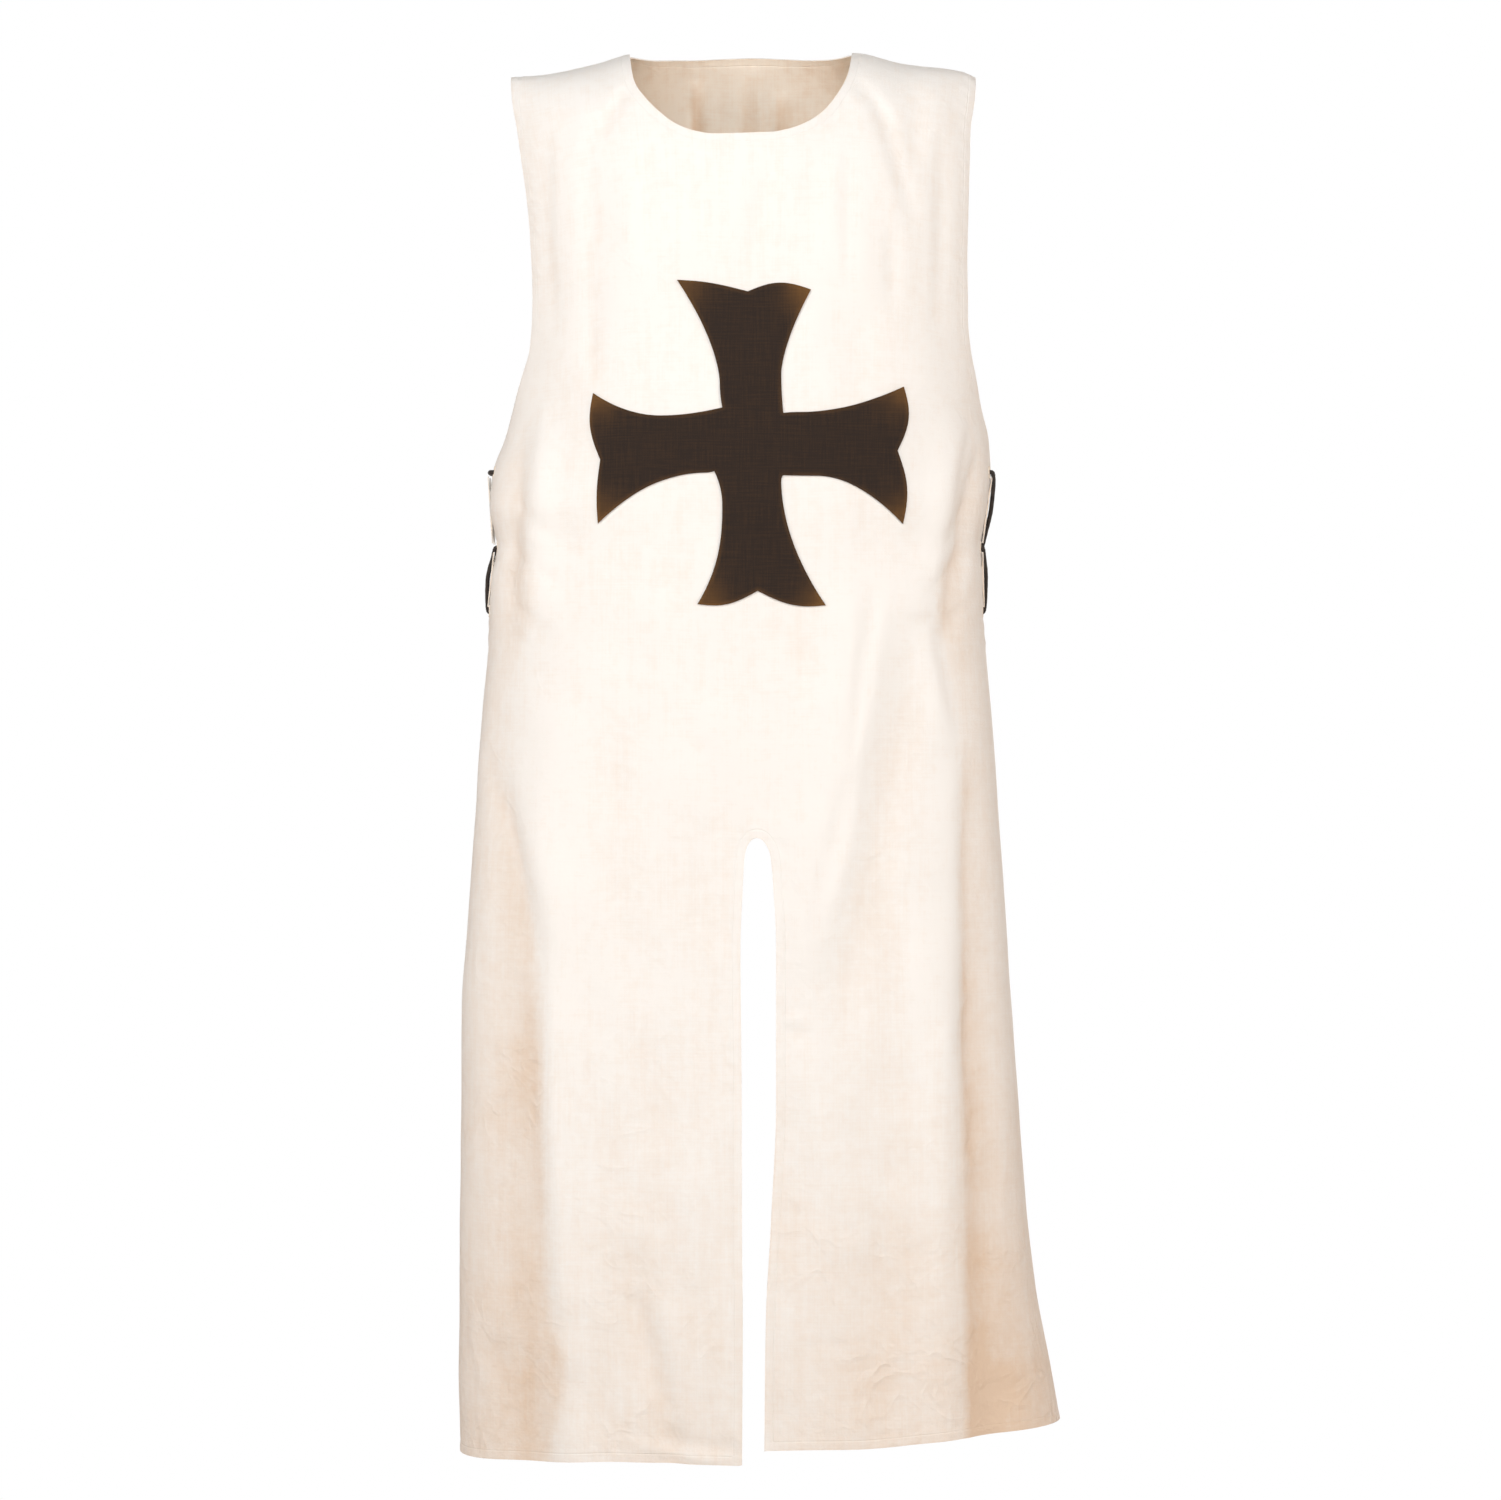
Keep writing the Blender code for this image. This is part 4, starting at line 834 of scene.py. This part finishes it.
CREASES["back"] = table(
    "x0 z0 x1 z1 x2 z2 left right height",
    (-128, -50, -132, -150, -128, -290, 10, 12, -2.3),
    (-92, -60, -88, -160, -94, -260, 8, 10, -1.8),
    (-46, -12, -43, -80, -36, -240, 4, 7, -6.4),
    (7, 0, 4, -90, 2, -270, 7, 9, -3.4),
    (39, -22, 37, -80, 44, -190, 4, 7, -4.6),
    (98, -55, 104, -165, 100, -300, 8, 10, -2.2),
    (141, -60, 146, -170, 140, -290, 9, 9, -2.1),
    (-171, -70, -168, -180, -172, -310, 10, 8, -2),
    (168, -120, 172, -200, 166, -280, 8, 10, -1.8),
    (-226, -392, -196, -408, -166, -436, 6, 6, -3.8),
    (-224, -458, -192, -470, -158, -496, 7, 6, -3.7),
    (-228, -518, -196, -536, -160, -566, 7, 7, -2.9),
    (-222, -430, -196, -440, -172, -452, 8, 8, 2),
    (226, -390, 190, -412, 158, -446, 6, 7, -4),
    (216, -460, 184, -474, 150, -500, 6, 6, -2.9),
    (220, -520, 188, -540, 152, -574, 7, 8, -3.7),
    (214, -490, 186, -500, 160, -512, 8, 8, 1.8),
    (-70, -300, -40, -345, 4, -372, 9, 11, -2.1),
    (90, -290, 60, -338, 20, -366, 9, 10, -2),
    (-150, -560, -142, -720, -150, -900, 20, 8, 4.8),
    (-128, -600, -120, -760, -128, -900, 8, 14, -4.8),
    (132, -540, 128, -700, 138, -880, 8, 18, 4.5),
    (108, -600, 104, -740, 112, -860, 14, 8, -4.5),
    (-52, -520, -48, -600, -46, -690, 9, 9, -2.3),
    (46, -500, 50, -590, 48, -680, 9, 9, -2.1),
    (-34, -650, -18, -685, 0, -708, 10, 8, -2.1),
    (52, -640, 38, -680, 24, -704, 8, 10, -1.8),
    (-180, -860, -176, -1050, -184, -1252, 22, 7, 5.4),
    (-158, -900, -152, -1080, -158, -1252, 8, 15, -5.8),
    (-108, -960, -104, -1110, -110, -1252, 16, 7, 4.2),
    (-60, -1090, -52, -1180, -44, -1260, 6, 12, 3.8),
    (-70, -1110, -64, -1190, -58, -1260, 10, 6, -2.6),
    (174, -880, 178, -1060, 190, -1252, 7, 22, 5.4),
    (150, -900, 152, -1080, 160, -1252, 15, 8, -5.8),
    (112, -980, 108, -1120, 114, -1252, 8, 15, 3.8),
    (66, -800, 62, -920, 70, -1040, 12, 14, -2.3),
    (-36, -780, -40, -900, -34, -1010, 12, 12, -1.8),
    (214, -760, 220, -920, 230, -1100, 12, 12, -3.8),
    (-220, -700, -226, -900, -228, -1080, 12, 12, -2.9),
    (60, -1246, 86, -1252, 112, -1251, 4, 4, 1.4),
    (-120, -1236, -90, -1243, -62, -1243, 5, 5, -1.3),
    (36, -1060, 46, -1056, 58, -1060, 4, 5, 1.7),
    (-196, -1130, -200, -1180, -196, -1230, 6, 7, 2.1),
)

back = canvas_panel("back_canvas", "back", (canvas, canvas_inside), CANVAS_THICK)
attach(back, "root")
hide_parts("back_panel")

# ---- The cross ----
# A cross of close black-brown wool-and-linen cloth with flared, notched arms, cut in one piece and
# laid flat on the chest, sewn down all round its raw-looking turned edge.
CROSS_X, CROSS_Z = 0.008, -0.3657
FLANK_STEPS, END_STEPS = 36, 12  # steps along an arm's sides and across half its end
TIP_FADE = 0.022  # how far from its tips an arm has faded

# The arms in turn from +X towards +Z: the two flanks of each on a line, and the notch in its end. A
# flank's widths stand at its root, its waist and its tip; it flares from one reach to the next by a
# power curve, and its half of the end bulges.
FLANKS = table(
    "root waist flare_from tip reach power bulge",
    (30.5, 31.0, 60, 73.5, 138, 1900, 6), (25.8, 26.8, 45, 51.5, 139, 1900, 7),
    (29.5, 27.6, 62, 54.5, 138, 1500, 7), (25.6, 27.9, 53, 66.5, 147, 1600, 2),
    (30.7, 23.8, 80, 45.5, 143, 2050, 6), (26.8, 28.3, 41, 73.5, 138, 2050, 2),
    (32.8, 25.6, 57, 48.0, 147, 2500, 6), (29.2, 27.6, 35, 68.0, 148, 1900, 6),
)
NOTCHES = table("reach aside", (132.7, -7.2), (136.4, 2.5), (136, 15.7), (135, 6.4))


def flank_points(flank, lateral, corner):
    """One side of an arm, as (reach, across), from its corner with the next arm, as far out as that arm
    is wide, to its tip: it narrows to the waist as a square curve and flares as a power curve."""
    reach = np.linspace(corner, flank.reach, FLANK_STEPS + 1)
    flare = np.clip((reach - flank.flare_from) / (flank.reach - flank.flare_from), 0, 1) ** flank.power
    narrow = np.clip((flank.flare_from - reach) / (flank.flare_from - corner), 0, 1) ** 2
    across = flank.waist + (flank.tip - flank.waist) * flare + (flank.root - flank.waist) * narrow
    return np.stack([reach, lateral * across], axis=-1)


def end_points(flank, lateral, notch):
    """Half the end of an arm, from the tip to the notch, bulging as half a sine wave."""
    steps, tip = np.linspace(0, 1, END_STEPS + 1), lateral * flank.tip
    reach = flank.reach + (notch.reach - flank.reach) * steps + flank.bulge * np.sin(math.pi * steps)
    return np.stack([reach, tip + (notch.aside - tip) * steps], axis=-1)


def arm_patch(number):
    """One arm as (reach, across) on a grid, [out, across]: a Coons patch between its two sides, its
    notched end, and the mitres that run from its corners to the middle of the cross."""
    before, left, right, after = (FLANKS[(2 * number + place) % len(FLANKS)] for place in (-1, 0, 1, 2))
    first, second = flank_points(left, -1, before.root), flank_points(right, 1, after.root)
    notch = NOTCHES[number]
    end = np.concatenate([end_points(left, -1, notch), end_points(right, 1, notch)[-2::-1]])
    half = np.linspace(0, 1, END_STEPS + 1)[:, None]
    mitres = np.concatenate([first[0] * (1 - half), second[0] * half[1:]])
    out = np.linspace(0, 1, FLANK_STEPS + 1)[:, None, None]
    over = np.linspace(0, 1, len(end))[None, :, None]
    bent = [side[:, None] - ((1 - out) * side[0] + out * side[-1]) for side in (first, second)]
    return (1 - out) * mitres + out * end + (1 - over) * bent[0] + over * bent[1]


def tip_nearness(number, reach, across):
    """1 at either tip of the arm, falling off round it as a bell."""
    flanks = zip(FLANKS[2 * number : 2 * number + 2], (-1, 1))
    away = [np.hypot(reach - flank.reach, across - lateral * flank.tip) for flank, lateral in flanks]
    return bell(np.minimum(*away), TIP_FADE)


def front_surface(x, z, lift):
    """Points on the finished front, moved out along its normal by the lift. The normal is the cross
    product of two small steps over the smooth cloth."""
    place, step = cloth_place(x, z, "front"), 0.001
    over = cloth_place(x + step, z, "front") - cloth_place(x - step, z, "front")
    normal = np.cross(over, cloth_place(x, z + step, "front") - cloth_place(x, z - step, "front"))
    return place + unit(normal) * (hanging_relief(place, "front") + lift)[..., None]


CROSS_THICK, CROSS_LIFT = 0.0008, 0.00055
SEWN_IN, SEWN_SINK, SEWN_REACH = 0.0022, 0.00025, 0.0012  # its stitch line, and how the cloth sinks there
EDGE_SINK, EDGE_REACH = 0.0002, 0.001
CROSS_DARK, CROSS_FADED = (0.0215, 0.0135, 0.0100), (0.125, 0.060, 0.018)


def cross_material():
    """Close plain-woven dark cloth, faded to brown at the tips of its arms and along its edge."""
    cloth = Cloth("dark_cloth", Roughness=0.88, Specular_IOR_Level=0.2, Sheen_Weight=0.1, Sheen_Roughness=0.5)
    threads = cloth.streaks(0.0014, 0.03, 5) + cloth.streaks(0.03, 0.0014, 6)
    cloud, edge = cloth.noise(26, 3, 0.6), cloth.carried("edge")
    fade = cloth.carried("tip").spread(0, 1) * cloud.spread(0.30, 0.62, 0.45, 1.0)
    rub = edge.spread(0.0, 0.0045, 0.42, 0.0) * cloud.spread(0.35, 0.65, 0.3, 1.0)
    tone = fade + rub + threads.spread(0.75, 1.25, -0.04, 0.10)
    sewn = abs(edge - SEWN_IN).spread(0.0002, 0.0007, 1.0, 0.0)
    height = cloth.weave * WEAVE_RAISE + threads * THREAD_RAISE - sewn * SEWN_SINK
    return cloth.painted(tone.spread(0, 1), CROSS_DARK, CROSS_FADED, height, 0.8)


patches, outline = [], []
for number in range(len(NOTCHES)):
    reach, across = np.moveaxis(arm_patch(number), -1, 0)
    cosine, sine = math.cos(number * math.pi / 2), math.sin(number * math.pi / 2)
    patch = np.stack([CROSS_X + reach * cosine - across * sine, CROSS_Z + reach * sine + across * cosine,
                      tip_nearness(number, reach, across)], axis=-1)
    outline.append(np.concatenate([patch[:, 0], patch[-1], patch[::-1, -1]])[:-1, :2])
    patches.append(patch)
outline = np.concatenate(outline + [outline[0][:1]])
flat = np.reshape(patches, (-1, 3))
edge = distance_to_line(flat[:, :2], outline, reach=0.15)
lift = CROSS_LIFT - SEWN_SINK * bell(edge - SEWN_IN, SEWN_REACH) - EDGE_SINK * bell(edge, EDGE_REACH)
points = front_surface(flat[:, 0], flat[:, 1], lift)
index = np.arange(len(flat)).reshape(len(patches), *patches[0].shape[:2])
faces = np.concatenate([corners_of(arm)[..., [0, 3, 2, 1]].reshape(-1, 4) for arm in index])
_, first, merged = np.unique(np.round(flat[:, :2], 6), axis=0, return_index=True, return_inverse=True)
cross = new_piece("cross_cloth", points[first], merged.reshape(-1)[faces], cross_material(), flat[first, :2],
                  {"edge": edge[first], "tip": flat[first, 2]})
thicken(cross, CROSS_THICK, offset=1.0)
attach(cross, "root")
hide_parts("cross")

# ---- The laces ----
# A black round-braided cotton cord down each side, wound through the eyelets of front and back and
# tied off inside with an overhand knot at either end.
LACE_RADIUS, LACE_STEPS, LACE_SIDES = 0.0022, 44, 16
STRANDS, BRAID_PITCH, BRAID_DEPTH = 8, 0.0085, 0.14
BRAID_START = (0.31, 0.17, 0.93)  # any direction that the cord never takes: its strands start square to it
LACE_END = 0.3  # how far the cord is drawn in at its cut ends
KNOT_TURN = 1.0  # how far before its first eyelet and past its last, in radians, the lace is knotted
KNOT_SIZE, KNOT_STEPS, KNOT_FLAT = 0.0016, 60, (1.0, 0.55, 0.55)
WALL = 0.0015

# The passes of each lace, inside and outside by turns: the levels of eyelets it runs between, how far
# it swings from the wall, and how late it drops (1 is even, and the more the later).
INWARDS = 0.0078
PASSES = {
    -1: ((0, 0, INWARDS, 1), (0, 0, 0.0040, 1), (0, 1, INWARDS, 1), (1, 2, 0.0042, 0.9), (2, 2, INWARDS, 1)),
    1: ((0, 0, INWARDS, 1), (0, 1, 0.0044, 0.9), (1, 1, INWARDS, 1), (1, 2, 0.0040, 1), (2, 2, INWARDS, 1)),
}


def lace_path(side):
    """The lace's route: from its first knot inside to a front eyelet, across outside to a back eyelet,
    in, and across inside to the front again. Half a turn of angle is one pass, and outside the bow is
    the root of a sine, so that it stays close."""
    last = math.pi * (len(PASSES[side]) - 2) + KNOT_TURN
    angle = np.linspace(-KNOT_TURN, last, round((last + KNOT_TURN) / math.pi * LACE_STEPS) + 1)
    half_turns = np.floor(angle / math.pi).astype(int)
    start, end, swing, late = np.array(PASSES[side])[half_turns + 1].T
    part, bow = angle - half_turns * math.pi, np.sin(angle)
    drop = ((part - np.sin(part) * np.cos(part)) / math.pi) ** late
    first, second = (np.array(LACING_Z)[level.astype(int)] for level in (start, end))
    z = first + (second - first) * drop
    out = swing * np.where(bow > 0, np.sqrt(np.maximum(bow, 0)), bow)
    x = side * (by_side(SECTIONS, side, z) - WALL / 2 + out)
    return np.stack([x, -EYELET_IN * np.cos(angle), z], axis=-1)


def turn_in(steps):
    """The angles of a full turn in that many even steps."""
    return np.linspace(0, 2 * math.pi, steps, endpoint=False)


def knot_path(place, side):
    """An overhand knot, a trefoil: (sin t + 2 sin 2t, cos t - 2 cos 2t, -sin 3t)."""
    t = turn_in(KNOT_STEPS)
    coil = (-np.sin(3 * t) * side, np.sin(t) + 2 * np.sin(2 * t), np.cos(t) - 2 * np.cos(2 * t))
    return place + np.stack(coil, axis=-1) * KNOT_SIZE * KNOT_FLAT


def tube_faces(rows, sides, closed):
    """The faces of a tube whose points stand in rows round it. A closed one runs back into itself."""
    index = np.arange(rows * sides).reshape(rows, sides)
    after = np.roll(index, -1, axis=0)
    faces = np.stack([index, np.roll(index, -1, axis=1), np.roll(after, -1, axis=1), after], axis=-1)
    return faces[: rows if closed else -1].reshape(-1, 4)


def braided_tube(path, closed):
    """A round cord along a path: its radius rises and falls as two sets of strands wind over each
    other. Returns its points, faces, and places (round, along) on the braid."""
    ahead = np.roll(path, -1, axis=0) - np.roll(path, 1, axis=0) if closed else np.gradient(path, axis=0)
    ahead = unit(ahead)
    aside = unit(np.cross(ahead, BRAID_START))
    along, around = lengths_along(path, 0)[:, None], turn_in(LACE_SIDES)[None, :]
    wind = 2 * math.pi * along / BRAID_PITCH
    strands = abs(np.sin(STRANDS / 4 * (around + wind)) * np.sin(STRANDS / 4 * (around - wind)))
    radius = LACE_RADIUS * (1 - BRAID_DEPTH + BRAID_DEPTH * strands)
    if not closed:
        radius[[0, -1]] *= LACE_END
    ring = (radius * np.cos(around))[..., None] * aside[:, None]
    ring += (radius * np.sin(around))[..., None] * np.cross(ahead, aside)[:, None]
    places = np.stack(np.broadcast_arrays(around * LACE_RADIUS, along), axis=-1)
    points = (path[:, None] + ring).reshape(-1, 3)
    return points, tube_faces(len(path), LACE_SIDES, closed), places.reshape(-1, 2)


def lace_material():
    """Dull black cotton braid, browner in random specks, with its fibre raised."""
    braid = Finish("black_braid", Roughness=0.75, Sheen_Weight=0.15)
    fibre, rub = braid.noise(900, 2, 0.6), braid.noise(120, 2, 0.6)
    tone = (fibre * rub).spread(0.15, 0.4)
    return braid.painted(tone, (0.011, 0.008, 0.007), (0.034, 0.024, 0.018), fibre * 0.0003, 0.6)


black_braid = lace_material()
for name, side, node in (("lace_right_side", -1, "lace_left"), ("lace_left_side", 1, "lace_right")):
    path = lace_path(side)
    knots = [braided_tube(knot_path(end, side), True) for end in (path[0], path[-1])]
    points, faces, places = zip(braided_tube(path, False), *knots)
    starts = np.cumsum([0] + [len(part) for part in points[:-1]])
    faces = np.concatenate([part + start for part, start in zip(faces, starts)])
    lace = new_piece(name, np.concatenate(points), faces, black_braid, np.concatenate(places))
    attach(lace, "root")
    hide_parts(node)

# ---- The eyelets ----
# A ring of close buttonhole stitches in linen thread round each lacing hole, worked through the turned
# hem, so that it stands a little proud of the canvas.
RING_MIDDLE, RING_WIDE, RING_PROUD, RING_SUNK = 0.0047, 0.0012, 0.00075, 0.0003
RING_STITCHES, STITCH_DIP = 22, 0.28  # how many, and how far the ring draws in between them
RING_STEPS, RING_SIDES = 132, 10


def cloth_side(face, side, y, z):
    """Where the cloth stands, from the middle, at a distance y in front of or behind the side: the
    level section's rounding turned round, so that it gives the share of the reach for a depth."""
    deep, opening, edge, square = section_at(z, face)
    rounding = edge + (1 - edge) * np.clip((y - opening) / (deep - opening), 0, 1)
    return side * by_side(SECTIONS, side, z) * ((1 - rounding**square) / (1 - edge**square)) ** (1 / square)


def eyelet_ring(face, side, level):
    """A ring lying on the cloth round one eyelet: a flattened tube whose height rises and falls with
    each stitch as the root of a sine."""
    around, tube = turn_in(RING_STEPS)[:, None], turn_in(RING_SIDES)[None, :]
    stitch = 1 - STITCH_DIP + STITCH_DIP * np.sqrt(abs(np.sin(around * RING_STITCHES / 2)))
    out = RING_MIDDLE + RING_WIDE * stitch * np.cos(tube)
    y, z = EYELET_IN + out * np.cos(around), level + out * np.sin(around)
    x = cloth_side(face, side, y, z) + side * (RING_PROUD * stitch * np.sin(tube) - RING_SUNK)
    return np.stack([x, -y if face == "front" else y, z], axis=-1)


corners = tube_faces(RING_STEPS, RING_SIDES, True)[:, [0, 3, 2, 1]]
rings, faces = [], []
for face in ("front", "back"):
    for side in SIDES:
        for level in LACING_Z:
            turned = (side == 1) == (face == "front")
            faces.append((corners[:, ::-1] if turned else corners) + len(rings) * RING_STEPS * RING_SIDES)
            rings.append(eyelet_ring(face, side, level).reshape(-1, 3))
thread = Finish("linen_thread", Roughness=0.85)
thread.painted(thread.noise(700, 2, 0.6).spread(0.3, 0.7), (0.86, 0.79, 0.69), (0.72, 0.62, 0.50))
eyelets = new_piece("eyelet_stitches", np.concatenate(rings), np.concatenate(faces), thread.material)
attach(eyelets, "root")

# ---- The floor and the light ----
# A pale floor where the wearer's feet would stand, a wide cool light high before the chest, which
# weakens towards the hem, another level with the waist, two warm ones at the sides and one behind.
FLOOR_Z, FLOOR_REACH = -1.48, 9.0
AROUND, AROUND_STRENGTH = (1.0, 0.84, 0.70), 0.13
Light = namedtuple("Light", "name place aim size power colour")
LIGHTS = (
    Light("chest_light", (-0.65, -2.35, 1.6), (0.0, -0.1, -0.4), 1.5, 38.8, (0.83, 0.91, 0.967)),
    Light("front_light", (-0.1, -3.4, -0.35), (0.0, 0.0, -0.2), 1.8, 35.8, (0.85, 0.90, 0.937)),
    Light("right_side_light", (-2.8, -1.9, 0.2), (0.0, 0.0, -0.6), 1.8, 63.0, (1.0, 0.87, 0.78)),
    Light("left_side_light", (2.8, -1.9, 0.2), (0.0, 0.0, -0.6), 1.8, 66.0, (1.0, 0.87, 0.78)),
    Light("back_light", (0.5, 3.3, 0.7), (0.0, 0.1, -0.5), 2.4, 138.0, (0.96, 0.93, 0.90)),
)


def show_white(tree, surface, kind, output):
    """Mixes a surface with plain white that only the camera's own rays see, so that it lends no light."""
    white, seen = tree.nodes.new(kind), tree.nodes.new("ShaderNodeMixShader")
    feed(white.inputs["Color"], (1, 1, 1))
    tree.links.new(tree.nodes.new("ShaderNodeLightPath").outputs["Is Camera Ray"], seen.inputs[0])
    tree.links.new(surface, seen.inputs[1])
    tree.links.new(white.outputs[0], seen.inputs[2])
    tree.links.new(seen.outputs[0], tree.nodes[output].inputs["Surface"])


floor_mesh = bpy.data.meshes.new("floor")
corners = [(x * FLOOR_REACH, y * FLOOR_REACH, FLOOR_Z) for x, y in ((-1, -1), (1, -1), (1, 1), (-1, 1))]
floor_mesh.from_pydata(corners, [], [(0, 1, 2, 3)])
floor = placed("floor", floor_mesh)
pale = Finish("pale_floor", Base_Color=(0.5, 0.47, 0.44), Roughness=0.9)
show_white(pale.tree, pale.shader.outputs[0], "ShaderNodeEmission", "Material Output")
floor_mesh.materials.append(pale.material)

for light in LIGHTS:
    data = bpy.data.lights.new(light.name, "AREA")
    data.shape, data.size, data.energy, data.color = "SQUARE", light.size, light.power, light.colour
    lamp = placed(light.name, data)
    lamp.location = light.place
    x, y, z = (a - b for a, b in zip(light.aim, light.place))
    lamp.rotation_euler = (math.atan2(math.hypot(x, y), -z), 0, math.atan2(y, x) - math.pi / 2)

world = bpy.data.worlds.new("studio")
world.use_nodes = True
background = world.node_tree.nodes["Background"]
feed(background.inputs["Color"], AROUND)
feed(background.inputs["Strength"], AROUND_STRENGTH)
show_white(world.node_tree, background.outputs[0], "ShaderNodeBackground", "World Output")
bpy.context.scene.world = world
